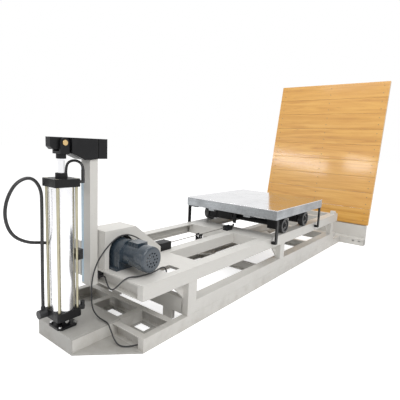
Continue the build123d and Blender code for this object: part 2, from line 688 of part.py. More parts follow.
def rail_stops():
    """Buffers that stop the sled at the low end of the tracks."""
    x1 = TILT_END - STOP_END_MARGIN
    y0 = WHEEL_FROM_CENTRE + STOP_WIDTH / 2
    y1 = WHEEL_FROM_CENTRE - STOP_WIDTH / 2
    near = box(x1 - STOP_LENGTH, x1, -y0, -y1, TRACK_TOP, TRACK_TOP + STOP_HEIGHT)
    near = chamfer(near.edges().filter_by(Axis.Y).group_by(Axis.Z)[-1].sort_by(Axis.X)[-1], STOP_HEIGHT * 0.6)
    return both_sides(near)


def pivot_shaft():
    """Shaft on which the frame tilts."""
    reach = LUG_OUTER + SHAFT_OVERHANG
    return [round_y(PIVOT_X, -reach, reach, PIVOT_Z, PIVOT_RADIUS)]


def column():
    """Upright tube that the cylinder pushes on, welded to the end beam."""
    x0, x1 = COLUMN_X
    top = ARM_TOP - ARM_CAP_THICKNESS
    tube = tube_z(x0, x1, -COLUMN_HALF_WIDTH, COLUMN_HALF_WIDTH, COLUMN_BOTTOM, top, COLUMN_WALL)
    floor = box(x0, x1, -COLUMN_HALF_WIDTH, COLUMN_HALF_WIDTH, COLUMN_BOTTOM, COLUMN_BOTTOM + COLUMN_WALL)
    return [tube + floor]


def scale_strip():
    """Graduated strip on the face of the column."""
    x = COLUMN_X[0]
    outer = COLUMN_HALF_WIDTH
    return [box(x - SCALE_THICKNESS, x, outer - SCALE_WIDTH, outer, *SCALE_Z)]


def lift_arm():
    """Arm on the column: tongue for the rod fork, cheeks round the column and the rear clamp."""
    x0, x1 = COLUMN_X
    half = COLUMN_HALF_WIDTH + COLLAR_WALL
    tongue = side_plate([(TONGUE_START_X, ARM_TOP), (TONGUE_START_X, TONGUE_BOTTOM + TONGUE_CHAMFER),
                         (TONGUE_START_X + TONGUE_CHAMFER, TONGUE_BOTTOM), (CHEEK_START_X, TONGUE_BOTTOM),
                         (CHEEK_START_X, ARM_TOP)], -TONGUE_HALF_WIDTH, TONGUE_HALF_WIDTH)
    drop = TONGUE_BOTTOM - CHEEK_DROP
    lip = COLLAR_BOTTOM - CHEEK_LIP
    cheek = side_plate([(CHEEK_START_X, ARM_TOP), (CHEEK_START_X, drop), (CHEEK_CORNER_X, lip),
                        (x0, lip), (x1 - COLLAR_SPLIT, COLLAR_BOTTOM),
                        (x1 - COLLAR_SPLIT, ARM_TOP)], -half, half)
    core = box(x0, x1 + 1, -COLUMN_HALF_WIDTH, COLUMN_HALF_WIDTH, 0, ARM_TOP - ARM_CAP_THICKNESS)
    front = tongue + (cheek - core)
    hole = TOP_PIN_RADIUS + TONGUE_HOLE_CLEARANCE
    front -= round_y(CYLINDER_X, -half, half, TOP_PIN_Z, hole)
    rear = box(x1, COLLAR_END_X, -half, half, COLLAR_BOTTOM, ARM_TOP)
    return [front, rear]


def winch_hood():
    """Sheet cover over the drum, open below, with an arch for the gearbox and a cable gland."""
    x0, x1 = HOOD_X
    outline = [(x0, TRACK_TOP), (x0, HOOD_TOP), (HOOD_TOP_END_X, HOOD_TOP), (x1, HOOD_NOSE_TOP), (x1, TRACK_TOP)]
    wall = HOOD_WALL
    inside = [(x0 + wall, TRACK_TOP - 1), (x0 + wall, HOOD_TOP - wall), (HOOD_TOP_END_X - 1, HOOD_TOP - wall),
              (x1 - wall, HOOD_NOSE_TOP - wall), (x1 - wall, TRACK_TOP - 1)]
    shell = side_plate(outline, *HOOD_Y) - side_plate(inside, HOOD_Y[0] + wall, HOOD_Y[1] - wall)
    arch = round_y(WINCH_X, HOOD_Y[0] - 1, HOOD_Y[0] + wall + 1, WINCH_Z, HOOD_ARCH_RADIUS)
    arch += box(WINCH_X - HOOD_ARCH_RADIUS, WINCH_X + HOOD_ARCH_RADIUS, HOOD_Y[0] - 1, HOOD_Y[0] + wall + 1,
                TRACK_TOP - 1, WINCH_Z)
    slot = box(x1 - wall - 1, x1 + 1, ROPE_Y - ROPE_SLOT, ROPE_Y + ROPE_SLOT, ROPE_Z - ROPE_SLOT, ROPE_Z + ROPE_SLOT)
    x, y, z = LONG_CABLE_ROUTE[0]
    gland = round_y(x, HOOD_Y[0], y, z, CABLE_RADIUS + GLAND_WALL)
    return [shell - arch - slot + gland]


def gearbox_case():
    """Cast gearbox with its foot, hollow for the wheels, bored for the output shaft."""
    y0, y1 = GEARBOX_Y
    r = GEARBOX_RADIUS
    body = round_y(WINCH_X, y0, y1, WINCH_Z, r)
    body += box(WINCH_X - r, WINCH_X + r, y0, y1, TRACK_TOP + GEARBOX_FOOT_THICKNESS, WINCH_Z)
    body = fillet(body.edges().filter_by(GeomType.CIRCLE), GEARBOX_WALL / 3)
    foot = box(WINCH_X - GEARBOX_FOOT_HALF, WINCH_X + GEARBOX_FOOT_HALF, y0 + 4, y1 - 4, TRACK_TOP,
               TRACK_TOP + GEARBOX_FOOT_THICKNESS)
    body += foot
    inner = r - GEARBOX_WALL
    body -= round_y(WINCH_X, y0 + GEARBOX_WALL, y1 - GEARBOX_WALL, WINCH_Z, inner)
    body -= round_y(WINCH_X, y1 - GEARBOX_WALL - 1, y1 + 1, WINCH_Z, DRUM_SHAFT_RADIUS + AXLE_CLEARANCE)
    body -= round_y(WINCH_X, y0 - 1, y0 + GEARBOX_WALL + 1, WINCH_Z, MOTOR_SHAFT_RADIUS + AXLE_CLEARANCE)
    return [body]


def motor_case():
    """Motor barrel with its flange ring and terminal box, hollow for the rotor."""
    y0 = MOTOR_END_Y
    y1 = GEARBOX_Y[0]
    body = round_y(WINCH_X, y0, y1, WINCH_Z, MOTOR_RADIUS)
    body += round_y(WINCH_X, y1 - RING_LENGTH, y1, WINCH_Z, RING_RADIUS)
    body += box(WINCH_X - TERMINAL_BOX_HALF, WINCH_X + TERMINAL_BOX_HALF, *TERMINAL_BOX_Y, WINCH_Z, TERMINAL_BOX_TOP)
    body -= round_y(WINCH_X, y0 - 1, y1 - MOTOR_WALL, WINCH_Z, MOTOR_RADIUS - MOTOR_WALL)
    body -= round_y(WINCH_X, y1 - MOTOR_WALL - 1, y1 + 1, WINCH_Z, MOTOR_SHAFT_RADIUS + AXLE_CLEARANCE)
    return [body]


def fan_cover():
    """Cup over the fan, with air holes in its end."""
    y0 = FAN_COVER_END_Y
    r = FAN_COVER_RADIUS
    body = round_y(WINCH_X, y0, MOTOR_END_Y, WINCH_Z, r)
    body = fillet(body.edges().filter_by(GeomType.CIRCLE).sort_by(Axis.Y)[0], 14)
    body -= round_y(WINCH_X, y0 + FAN_COVER_WALL, MOTOR_END_Y + 1, WINCH_Z, r - 2 * FAN_COVER_WALL)
    for ring, count in ((20, 6), (38, 12)):
        for i in range(count):
            angle = 2 * math.pi * i / count
            body -= round_y(WINCH_X + ring * math.cos(angle), y0 - 1, y0 + FAN_COVER_WALL + 1,
                            WINCH_Z + ring * math.sin(angle), 5)
    seat = round_y(WINCH_X, MOTOR_END_Y - RING_LENGTH, MOTOR_END_Y, WINCH_Z, r - FAN_COVER_WALL)
    seat -= round_y(WINCH_X, MOTOR_END_Y - RING_LENGTH - 1, MOTOR_END_Y + 1, WINCH_Z, FAN_RADIUS + 2)
    return [body + seat]


def motor_rotor():
    """Rotor, shaft and cooling fan of the motor."""
    shaft_start = GEARBOX_Y[0] + GEARBOX_WALL + 20
    fan_y = MOTOR_END_Y - RING_LENGTH - FAN_LENGTH - 6
    body = round_y(WINCH_X, fan_y, shaft_start, WINCH_Z, MOTOR_SHAFT_RADIUS)
    body += round_y(WINCH_X, MOTOR_END_Y + 15, GEARBOX_Y[0] - MOTOR_WALL - 20, WINCH_Z, ROTOR_RADIUS)
    body += round_y(WINCH_X, fan_y, fan_y + FAN_LENGTH, WINCH_Z, FAN_RADIUS - 4)
    return [body]


def winch_drum():
    """Rope drum on its shaft."""
    y0, y1 = DRUM_Y
    body = round_y(WINCH_X, y0, y1, WINCH_Z, DRUM_RADIUS)
    body += round_y(WINCH_X, y0, y0 + DRUM_FLANGE, WINCH_Z, DRUM_FLANGE_RADIUS)
    body += round_y(WINCH_X, y1 - DRUM_FLANGE, y1, WINCH_Z, DRUM_FLANGE_RADIUS)
    body += round_y(WINCH_X, GEARBOX_Y[1] - GEARBOX_WALL - 4, BEARING_Y + BEARING_WIDTH - 2, WINCH_Z,
                    DRUM_SHAFT_RADIUS)
    return [body]


def bearing_blocks():
    """Pillow block that carries the drum's far end."""
    y0, y1 = BEARING_Y, BEARING_Y + BEARING_WIDTH
    body = box(WINCH_X - BEARING_HALF, WINCH_X + BEARING_HALF, y0, y1, TRACK_TOP, WINCH_Z)
    body += round_y(WINCH_X, y0, y1, WINCH_Z, BEARING_HALF)
    body -= round_y(WINCH_X, y0 - 1, y1 + 1, WINCH_Z, DRUM_SHAFT_RADIUS + AXLE_CLEARANCE)
    return [body]


def rope_guides():
    """Black rope block at the hood's end, the roller bracket and the block of the release hook."""
    x0, x1 = GUIDE_BLOCK_X
    y0, y1 = GUIDE_BLOCK_Y
    block = box(x0, x1, y0, y1, TRACK_TOP, GUIDE_BLOCK_TOP)
    block -= box(x0 - 1, x1 + 1, ROPE_Y - ROPE_HOLE, ROPE_Y + ROPE_HOLE, ROPE_Z - ROPE_HOLE, ROPE_Z + ROPE_HOLE)
    inner = ROLLER_WIDTH / 2 + 1
    outer = inner + ROLLER_EAR
    half = ROLLER_RADIUS + 9
    roller_z = ROPE_Z - ROPE_RADIUS - ROLLER_RADIUS
    bracket = box(ROLLER_X - half, ROLLER_X + half, ROPE_Y - outer, ROPE_Y + outer, RAIL_TOP - 30, roller_z - 14)
    for side in (-1, 1):
        bracket += box(ROLLER_X - half, ROLLER_X + half, ROPE_Y + side * inner, ROPE_Y + side * outer,
                       roller_z - 14, ROPE_Z + 8)
    bracket += box(ROLLER_X - half, ROLLER_X + half, CENTRE_BEAM_Y[1], ROPE_Y - outer, RAIL_TOP - 30, RAIL_TOP)
    bracket -= round_y(ROLLER_X, ROPE_Y - outer - 1, ROPE_Y + outer + 1, roller_z, ROLLER_PIN_RADIUS + AXLE_CLEARANCE)
    return [block, bracket, hook_block()]


def guide_roller():
    """Roller under the rope with its pin."""
    inner = ROLLER_WIDTH / 2
    roller_z = ROPE_Z - ROPE_RADIUS - ROLLER_RADIUS
    body = round_y(ROLLER_X, ROPE_Y - inner, ROPE_Y + inner, roller_z, ROLLER_RADIUS)
    reach = inner + 1 + ROLLER_EAR + 2
    body += round_y(ROLLER_X, ROPE_Y - reach, ROPE_Y + reach, roller_z, ROLLER_PIN_RADIUS)
    return [body]


def junction_boxes():
    """Small boxes where the motor cable ends: under the deck's opening and behind the column."""
    x, y, z = SHORT_CABLE_ROUTE[0]
    half = JUNCTION_SIZE / 2
    under = box(x - half, x + half, -RAIL_INNER, y + half, RAIL_BOTTOM, z)
    x, y, z = SHORT_CABLE_ROUTE[-1]
    web = TILT_START + CHANNEL_FLANGE - CHANNEL_WALL
    behind = box(web - JUNCTION_SIZE, web, y, y + JUNCTION_SIZE, z - half, z + half)
    return [under, behind]


def winch_rope():
    """Steel rope from the drum to the release block, pulled straight."""
    return [round_x(WINCH_X, HOOK_BLOCK_X[0], ROPE_Y, ROPE_Z, ROPE_RADIUS)]


def hook_block():
    """Block on the first cross beam that holds the rope's end and the release hook."""
    x0, x1 = HOOK_BLOCK_X
    body = box(x0, x1, ROPE_Y - HOOK_BLOCK_HALF, ROPE_Y + HOOK_BLOCK_HALF, TRACK_TOP, ROPE_Z + 12)
    body -= box(x1 - 40, x1 + 1, ROPE_Y - 7, ROPE_Y + 7, TRACK_TOP + 4, ROPE_Z + 13)
    pin_x = x1 - HOOK_PIN_INSET
    hole = HOOK_PIN_RADIUS + AXLE_CLEARANCE
    return body - round_y(pin_x, ROPE_Y - HOOK_BLOCK_HALF - 1, ROPE_Y + HOOK_BLOCK_HALF + 1, ROPE_Z, hole)


def release_hook():
    """Hook that lets the sled go."""
    pin_x = HOOK_BLOCK_X[1] - HOOK_PIN_INSET
    body = round_y(pin_x, ROPE_Y - HOOK_BLOCK_HALF - 3, ROPE_Y + HOOK_BLOCK_HALF + 3, ROPE_Z, HOOK_PIN_RADIUS)
    body += round_y(pin_x, ROPE_Y - 6, ROPE_Y + 6, ROPE_Z, 10)
    body += box(pin_x, pin_x + HOOK_LENGTH, ROPE_Y - 6, ROPE_Y + 6, ROPE_Z - 7, ROPE_Z + 5)
    body += box(pin_x + HOOK_LENGTH - 12, pin_x + HOOK_LENGTH, ROPE_Y - 6, ROPE_Y + 6, ROPE_Z - 7, ROPE_Z + 16)
    return [body]


def tie_rod_places():
    """Centres of the four tie rods."""
    step = TIE_ROD_OFFSET
    return [(CYLINDER_X + i * step, j * step) for i in (-1, 1) for j in (-1, 1)]


def cap_block(z0, z1):
    """Square cylinder cap with chamfered corners and holes for the tie rods."""
    half = CAP_SIZE / 2
    block = box(CYLINDER_X - half, CYLINDER_X + half, -half, half, z0, z1)
    block = chamfer(block.edges().filter_by(Axis.Z), CAP_CHAMFER)
    for x, y in tie_rod_places():
        block -= round_z(x, y, z0 - 1, z1 + 1, TIE_ROD_RADIUS)
    return block


def bottom_cap():
    """Lower cap of the cylinder with the eye for the foot pin."""
    z0, z1 = BOTTOM_CAP_Z
    body = cap_block(z0, z1)
    for x, y in tie_rod_places():
        body -= round_z(x, y, z0 - 1, z0 + TIE_NUT_HEIGHT, TIE_NUT_RADIUS)
    eye = box(CYLINDER_X - EYE_RADIUS, CYLINDER_X + EYE_RADIUS, -EYE_HALF_WIDTH, EYE_HALF_WIDTH, FOOT_PIN_Z, z0)
    eye += round_y(CYLINDER_X, -EYE_HALF_WIDTH, EYE_HALF_WIDTH, FOOT_PIN_Z, EYE_RADIUS)
    body += eye
    body -= round_y(CYLINDER_X, -EYE_HALF_WIDTH - 1, EYE_HALF_WIDTH + 1, FOOT_PIN_Z, FOOT_PIN_RADIUS + PIN_FIT)
    return [body]


def cylinder_barrel():
    """Aluminium tube between the caps."""
    z0, z1 = BOTTOM_CAP_Z[1], TOP_CAP_Z[0]
    return [round_z(CYLINDER_X, 0, z0, z1, BARREL_RADIUS) - round_z(CYLINDER_X, 0, z0 - 1, z1 + 1, BORE_RADIUS)]


def top_cap():
    """Upper cap with the gland of the piston rod."""
    z0, z1 = TOP_CAP_Z
    body = cap_block(z0, z1)
    for x, y in tie_rod_places():
        body -= round_z(x, y, z1 - TIE_NUT_HEIGHT, z1 + 1, TIE_NUT_RADIUS)
    body += round_z(CYLINDER_X, 0, z1, z1 + GLAND_HEIGHT, GLAND_RADIUS)
    body -= round_z(CYLINDER_X, 0, z0 - 1, z1 + GLAND_HEIGHT + 1, ROD_RADIUS + ROD_CLEARANCE)
    return [body]


def tie_rods():
    """Four tie rods with a nut at each end, sunk in the caps."""
    z0, z1 = BOTTOM_CAP_Z[0], TOP_CAP_Z[1]
    pieces = []
    for x, y in tie_rod_places():
        rod = round_z(x, y, z0, z1, TIE_ROD_RADIUS)
        rod += hexagon_z(x, y, z0, z0 + TIE_NUT_HEIGHT, TIE_NUT_RADIUS - 0.5)
        rod += hexagon_z(x, y, z1 - TIE_NUT_HEIGHT, z1, TIE_NUT_RADIUS - 0.5)
        pieces.append(rod)
    return pieces


def piston():
    """Piston in the barrel, near the bottom when the frame is down."""
    z0 = BOTTOM_CAP_Z[1] + PISTON_REST_GAP
    body = round_z(CYLINDER_X, 0, z0, z0 + PISTON_LENGTH, BORE_RADIUS - PISTON_CLEARANCE)
    return [body - round_z(CYLINDER_X, 0, z0 - 1, z0 + PISTON_LENGTH + 1, ROD_RADIUS)]


def piston_rod():
    """Chromed rod through piston and gland, with its lock nut under the fork."""
    z0 = BOTTOM_CAP_Z[1] + PISTON_REST_GAP
    rod = round_z(CYLINDER_X, 0, z0, ROD_TOP, ROD_RADIUS)
    rod += hexagon_z(CYLINDER_X, 0, FORK_BOTTOM - ROD_NUT_HEIGHT, FORK_BOTTOM, ROD_NUT_RADIUS)
    return [rod]


def rod_fork():
    """Fork on the rod, its ears on both sides of the arm's tongue."""
    half = FORK_DEPTH / 2
    ear_inner = TONGUE_HALF_WIDTH + FORK_GAP
    body = round_z(CYLINDER_X, 0, FORK_BOTTOM, FORK_CROTCH - 8, half)
    body += box(CYLINDER_X - half, CYLINDER_X + half, -FORK_HALF_WIDTH, FORK_HALF_WIDTH, FORK_CROTCH - 14, FORK_CROTCH)
    ear = box(CYLINDER_X - half, CYLINDER_X + half, -FORK_HALF_WIDTH, -ear_inner, FORK_CROTCH, TOP_PIN_Z)
    ear += round_y(CYLINDER_X, -FORK_HALF_WIDTH, -ear_inner, TOP_PIN_Z, half)
    body += ear + other_side(ear)
    body -= round_z(CYLINDER_X, 0, FORK_BOTTOM - 1, ROD_TOP, ROD_RADIUS)
    body -= round_y(CYLINDER_X, -FORK_HALF_WIDTH - 1, FORK_HALF_WIDTH + 1, TOP_PIN_Z, TOP_PIN_RADIUS)
    return [body]


def top_pin():
    """Pin of the fork with a round head on the near side and a ring on the far side."""
    reach = FORK_HALF_WIDTH
    pin = round_y(CYLINDER_X, -reach, reach, TOP_PIN_Z, TOP_PIN_RADIUS)
    for side in (-1, 1):
        pin += round_y(CYLINDER_X, side * reach, side * (reach + TOP_PIN_HEAD), TOP_PIN_Z, TOP_PIN_RADIUS + 3)
    return [pin]


def exhaust_valve():
    """Valve between cylinder and column, on a strap across two tie rods."""
    rod_face = CYLINDER_X + TIE_ROD_OFFSET + TIE_ROD_RADIUS
    strap_x = CYLINDER_X + BARREL_RADIUS + 1
    z0, z1 = VALVE_Z
    middle = (z0 + z1) / 2
    body = box(strap_x, strap_x + STRAP_THICKNESS, -TIE_ROD_OFFSET - 9, TIE_ROD_OFFSET + 9,
               middle - STRAP_HEIGHT / 2, middle + STRAP_HEIGHT / 2)
    if rod_face < strap_x:
        for side in (-1, 1):
            body += box(rod_face, strap_x, side * (TIE_ROD_OFFSET - 5), side * (TIE_ROD_OFFSET + 5),
                        middle - STRAP_HEIGHT / 2, middle + STRAP_HEIGHT / 2)
    start = strap_x + STRAP_THICKNESS
    body += box(start, start + VALVE_DEPTH - 8, -VALVE_WIDTH + 8, 8, z0, z1)
    port_x, port_y, port_z = HOSE_LOOP_ROUTE[-1]
    body += round_y(port_x, 8, port_y, port_z, HOSE_RADIUS + 2)
    return [body]


def port_fittings():
    """Quick exhaust valve and elbows screwed into the two caps."""
    half = CAP_SIZE / 2
    left = CYLINDER_X - half
    right = CYLINDER_X + half
    quick = round_x(left - EXHAUST_LENGTH, left, EXHAUST_Y, EXHAUST_Z, EXHAUST_RADIUS)
    x, y, z = HOSE_LOOP_ROUTE[0]
    quick += round_z(x, y, EXHAUST_Z, z, HOSE_RADIUS + 3)
    lower = round_x(right, right + ELBOW_REACH + ELBOW_RADIUS, -12, EXHAUST_Z, ELBOW_RADIUS)
    lower += round_z(right + ELBOW_REACH, -12, EXHAUST_Z - 18, EXHAUST_Z + 28, ELBOW_RADIUS + 2)
    end_x, end_y, end_z = HOSE_TOP_ROUTE[-1]
    upper = round_x(right, end_x, TOP_ELBOW_Y, TOP_ELBOW_Z, ELBOW_RADIUS - 2)
    upper += round_z(end_x, end_y, TOP_ELBOW_Z - 8, end_z, TOP_HOSE_RADIUS + 2)
    x, y, z = HOSE_TOP_ROUTE[0]
    socket = round_z(x, y, TOP_CAP_Z[1], z, TOP_HOSE_RADIUS + 2)
    return [quick, lower, upper, socket]


HOSE_LOOP_ROUTE = [
    (-288.0, 58.0, 205.0), (-288.0, 58.0, 330.0), (-283.0, 62.0, 540.0), (-277.0, 67.0, 740.0),
    (-273.0, 76.0, 842.0), (-318.0, 86.0, 905.0), (-392.0, 90.0, 882.0), (-440.0, 94.0, 800.0),
    (-452.0, 98.0, 705.0), (-420.0, 100.0, 612.0), (-345.0, 98.0, 562.0), (-262.0, 96.0, 548.0),
    (-186.0, 97.0, 526.0), (-128.0, 88.0, 500.0), (-112.0, 50.0, 486.0), (-112.0, 18.0, 486.0),
]
HOSE_TOP_ROUTE = [
    (-152.0, 44.0, 912.0), (-152.0, 44.0, 950.0), (-143.0, 34.0, 982.0), (-118.0, 0.0, 992.0),
    (-101.0, -35.0, 970.0), (-101.0, -35.0, 942.0),
]
LONG_CABLE_ROUTE = [
    (290.0, -112.0, 470.0), (290.0, -134.0, 473.0), (262.0, -142.0, 494.0), (222.0, -142.0, 521.0),
    (178.0, -139.0, 550.0), (134.0, -136.0, 568.0), (90.0, -136.0, 574.0), (47.0, -137.0, 566.0),
    (7.0, -134.0, 540.0), (-24.0, -112.0, 492.0), (-44.0, -82.0, 430.0), (-56.0, -62.0, 362.0),
    (-62.0, -54.0, 296.0), (-62.0, -54.0, 236.0),
]
FLOOR_CABLE_ROUTE = [
    (-62.0, -54.0, 235.8), (-62.0, -54.0, 180.0), (-53.0, -62.0, 133.0), (-44.0, -94.0, 107.0),
    (-40.0, -136.0, 102.0), (-43.0, -178.0, 103.0), (-50.0, -212.0, 76.0), (-56.0, -246.0, 40.0),
    (-55.0, -284.0, 18.0), (-40.0, -320.0, 17.0), (-10.0, -346.0, 20.0), (16.0, -366.0, 25.0),
    (28.0, -392.0, 28.0),
]
SHORT_CABLE_ROUTE = [
    (270.0, -316.0, 330.0), (270.0, -316.0, 354.0), (258.0, -317.0, 384.0), (228.0, -318.0, 395.0),
    (186.0, -319.0, 386.0), (140.0, -321.0, 382.0), (92.0, -318.0, 383.0), (46.0, -309.0, 382.0),
    (8.0, -301.0, 390.0), (-22.0, -290.0, 382.0), (-36.0, -264.0, 350.0), (-40.0, -232.0, 318.0),
    (-40.0, -202.0, 301.0), (-36.0, -174.0, 305.0), (-29.0, -148.0, 322.0), (-16.0, -120.0, 333.0),
    (0.0, -94.0, 335.0), (6.0, -68.0, 334.0), (6.0, -44.0, 334.0),
]


def hose_loop():
    """Big slack hose beside the cylinder."""
    return [cord("hose_loop", HOSE_LOOP_ROUTE, HOSE_RADIUS)]


def hose_top():
    """Short hose over the top cap."""
    return [cord("hose_top", HOSE_TOP_ROUTE, TOP_HOSE_RADIUS)]


def cable_long():
    """Cable from the hood over the gearbox and down beside the column."""
    return [cord("cable_long", LONG_CABLE_ROUTE, CABLE_RADIUS)]


def cable_floor():
    """The same cable's lower stretch, over the nose plate and into the base rail."""
    return [cord("cable_floor", FLOOR_CABLE_ROUTE, CABLE_RADIUS)]


def cable_short():
    """Cable from the motor over the deck's edge to the column."""
    return [cord("cable_short", SHORT_CABLE_ROUTE, CABLE_RADIUS)]


def sled_deck():
    """Top plate of the sled."""
    return [box(*SLED_X, -SLED_HALF_WIDTH, SLED_HALF_WIDTH, SLED_TOP - SLED_PLATE, SLED_TOP)]


def sled_frame():
    """Skirt, cross tubes over the axles, bearers and the cross plate of the tow tongue."""
    x0, x1 = SLED_X
    z0, z1 = SLED_SKIRT_BOTTOM, SLED_TOP - SLED_PLATE
    half = SLED_HALF_WIDTH
    body = box(x0, x1, -half, half, z0, z1)
    body -= box(x0 + SKIRT_WALL, x1 - SKIRT_WALL, -half + SKIRT_WALL, half - SKIRT_WALL, z0 - 1, z1 + 1)
    inner = half - SKIRT_WALL
    reach = HOUSING_LENGTH / 2
    for x in WHEEL_X:
        body += tube_y(x - reach, x + reach, -inner, inner, z0, z1, SKIRT_WALL)
    for side in (-1, 1):
        y = side * BEARER_FROM_CENTRE
        body += box(x0 + SKIRT_WALL, x1 - SKIRT_WALL, y - BEARER_HALF, y + BEARER_HALF, z0 - BEARER_DROP, z1)
    tow_x = SLED_X[0] + TOW_SET_BACK
    body += box(tow_x, tow_x + TOW_THICKNESS, -BEARER_FROM_CENTRE, BEARER_FROM_CENTRE, z0, z1)
    return [body]


def wheel_brackets():
    """Axle housings under the sled with axle tube and stub axles, the tow tongue and the release unit."""
    pieces = []
    wheel_inner = WHEEL_FROM_CENTRE - WHEEL_WIDTH / 2
    outer = wheel_inner - HOUSING_GAP
    inner = outer - HOUSING_WIDTH
    reach = HOUSING_LENGTH / 2
    for x in WHEEL_X:
        housing = box(x - reach, x + reach, -outer, -inner, HOUSING_BOTTOM, SLED_SKIRT_BOTTOM)
        body = housing + other_side(housing)
        body += round_y(x, -inner, inner, WHEEL_Z, AXLE_TUBE_RADIUS - 3)
        end = WHEEL_FROM_CENTRE + WHEEL_WIDTH / 2 + 6
        body += round_y(x, -end, end, WHEEL_Z, WHEEL_BORE - AXLE_CLEARANCE)
        pieces.append(body)
    tow_x = SLED_X[0] + TOW_SET_BACK
    tongue = box(tow_x, tow_x + TOW_THICKNESS, ROPE_Y - TOW_HALF_WIDTH, ROPE_Y + TOW_HALF_WIDTH,
                 ROPE_Z + TOW_ABOVE_ROPE, SLED_SKIRT_BOTTOM)
    bearer_bottom = SLED_SKIRT_BOTTOM - BEARER_DROP
    unit_end = WHEEL_X[0] - AXLE_TUBE_RADIUS - UNIT_AXLE_GAP
    unit = box(unit_end - UNIT_LENGTH, unit_end, *UNIT_Y, bearer_bottom - UNIT_HEIGHT, bearer_bottom)
    return pieces + [tongue, unit]


def wheel(x, side):
    """Track wheel on its stub axle, rounded at the tread."""
    y0 = side * (WHEEL_FROM_CENTRE - WHEEL_WIDTH / 2)
    y1 = side * (WHEEL_FROM_CENTRE + WHEEL_WIDTH / 2)
    body = round_y(x, y0, y1, WHEEL_Z, WHEEL_RADIUS)
    body = fillet(body.edges().filter_by(GeomType.CIRCLE), 5)
    dish = round_y(x, y1, y1 - side * 9, WHEEL_Z, WHEEL_RADIUS * 0.72)
    dish -= round_y(x, y1 + side, y1 - side * 10, WHEEL_Z, WHEEL_BORE + 12)
    body -= dish
    body -= round_y(x, y0 - side, y1 + side, WHEEL_Z, WHEEL_BORE)
    return [body]


def side_guides():
    """Four hooked arms that keep the sled on the rails."""
    pieces = []
    x0, x1 = SLED_X
    outer = SLED_HALF_WIDTH
    inner = outer - GUIDE_BAR_THICKNESS
    foot_end = HALF_WIDTH + GUIDE_SIDE_GAP
    top = SLED_SKIRT_BOTTOM
    starts = (x0 + GUIDE_X_MARGIN, x1 - GUIDE_X_MARGIN - GUIDE_BAR_WIDTH)
    for x in starts:
        end = x + GUIDE_BAR_WIDTH
        arm = box(x, end, -outer, -inner, GUIDE_BOTTOM, top)
        arm += box(x, end, -inner, -foot_end, GUIDE_BOTTOM, GUIDE_BOTTOM + GUIDE_FOOT_HEIGHT)
        arm += box(x, end, -outer, GUIDE_TOP_ARM - outer, top - GUIDE_BAR_THICKNESS, top)
        pieces += both_sides(arm)
    return pieces


NODES = {
    "base_rails": base_rails,
    "base_cross_members": base_cross_members,
    "nose_cover": nose_cover,
    "nose_floor_plate": nose_floor_plate,
    "cylinder_clevis": cylinder_clevis,
    "clevis_fasteners": clevis_fasteners,
    "pivot_brackets": pivot_brackets,
    "panel_foot_beam": panel_foot_beam,
    "panel_brace_frame": panel_brace_frame,
    "panel_rear_frame": panel_rear_frame,
    "panel_boards": panel_boards,
    "panel_screws": panel_screws,
    "tilt_rails": tilt_rails,
    "track_plates": track_plates,
    "tilt_chords": tilt_chords,
    "tilt_posts": tilt_posts,
    "end_beam": end_beam,
    "centre_beam": centre_beam,
    "cross_beams": cross_beams,
    "deck_plate": deck_plate,
    "rail_stops": rail_stops,
    "pivot_shaft": pivot_shaft,
    "column": column,
    "scale_strip": scale_strip,
    "lift_arm": lift_arm,
    "winch_hood": winch_hood,
    "gearbox_case": gearbox_case,
    "motor_case": motor_case,
    "fan_cover": fan_cover,
    "motor_rotor": motor_rotor,
    "winch_drum": winch_drum,
    "bearing_blocks": bearing_blocks,
    "rope_guides": rope_guides,
    "guide_roller": guide_roller,
    "winch_rope": winch_rope,
    "junction_boxes": junction_boxes,
    "release_hook": release_hook,
    "cable_long": cable_long,
    "cable_floor": cable_floor,
    "cable_short": cable_short,
    "bottom_cap": bottom_cap,
    "cylinder_barrel": cylinder_barrel,
    "top_cap": top_cap,
    "tie_rods": tie_rods,
    "exhaust_valve": exhaust_valve,
    "port_fittings": port_fittings,
    "hose_loop": hose_loop,
    "hose_top": hose_top,
    "piston": piston,
    "piston_rod": piston_rod,
    "rod_fork": rod_fork,
    "top_pin": top_pin,
    "sled_deck": sled_deck,
    "sled_frame": sled_frame,
    "wheel_brackets": wheel_brackets,
    "side_guides": side_guides,
}


def write_node(name, pieces):
    """Write the separate solids of one node, moved to the middle of the footprint."""
    solids = []
    for piece in pieces:
        solids += piece.solids()
    moved = [Pos(-MODEL_MIDDLE_X, 0, 0) * solid for solid in solids]
    export_step(moved[0] if len(moved) == 1 else Compound(children=moved), f"parts/{name}.step")


def main():
    """Write every node."""
    os.makedirs("parts", exist_ok=True)
    for name, make in NODES.items():
        write_node(name, make())
    for place, x in zip(("high", "low"), WHEEL_X):
        for name, side in (("near", -1), ("far", 1)):
            write_node(f"wheel_{name}_{place}", wheel(x, side))


if __name__ == "__main__":
    main()
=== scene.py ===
import json
import math
import random

import bmesh
import bpy
from mathutils import Matrix, Vector


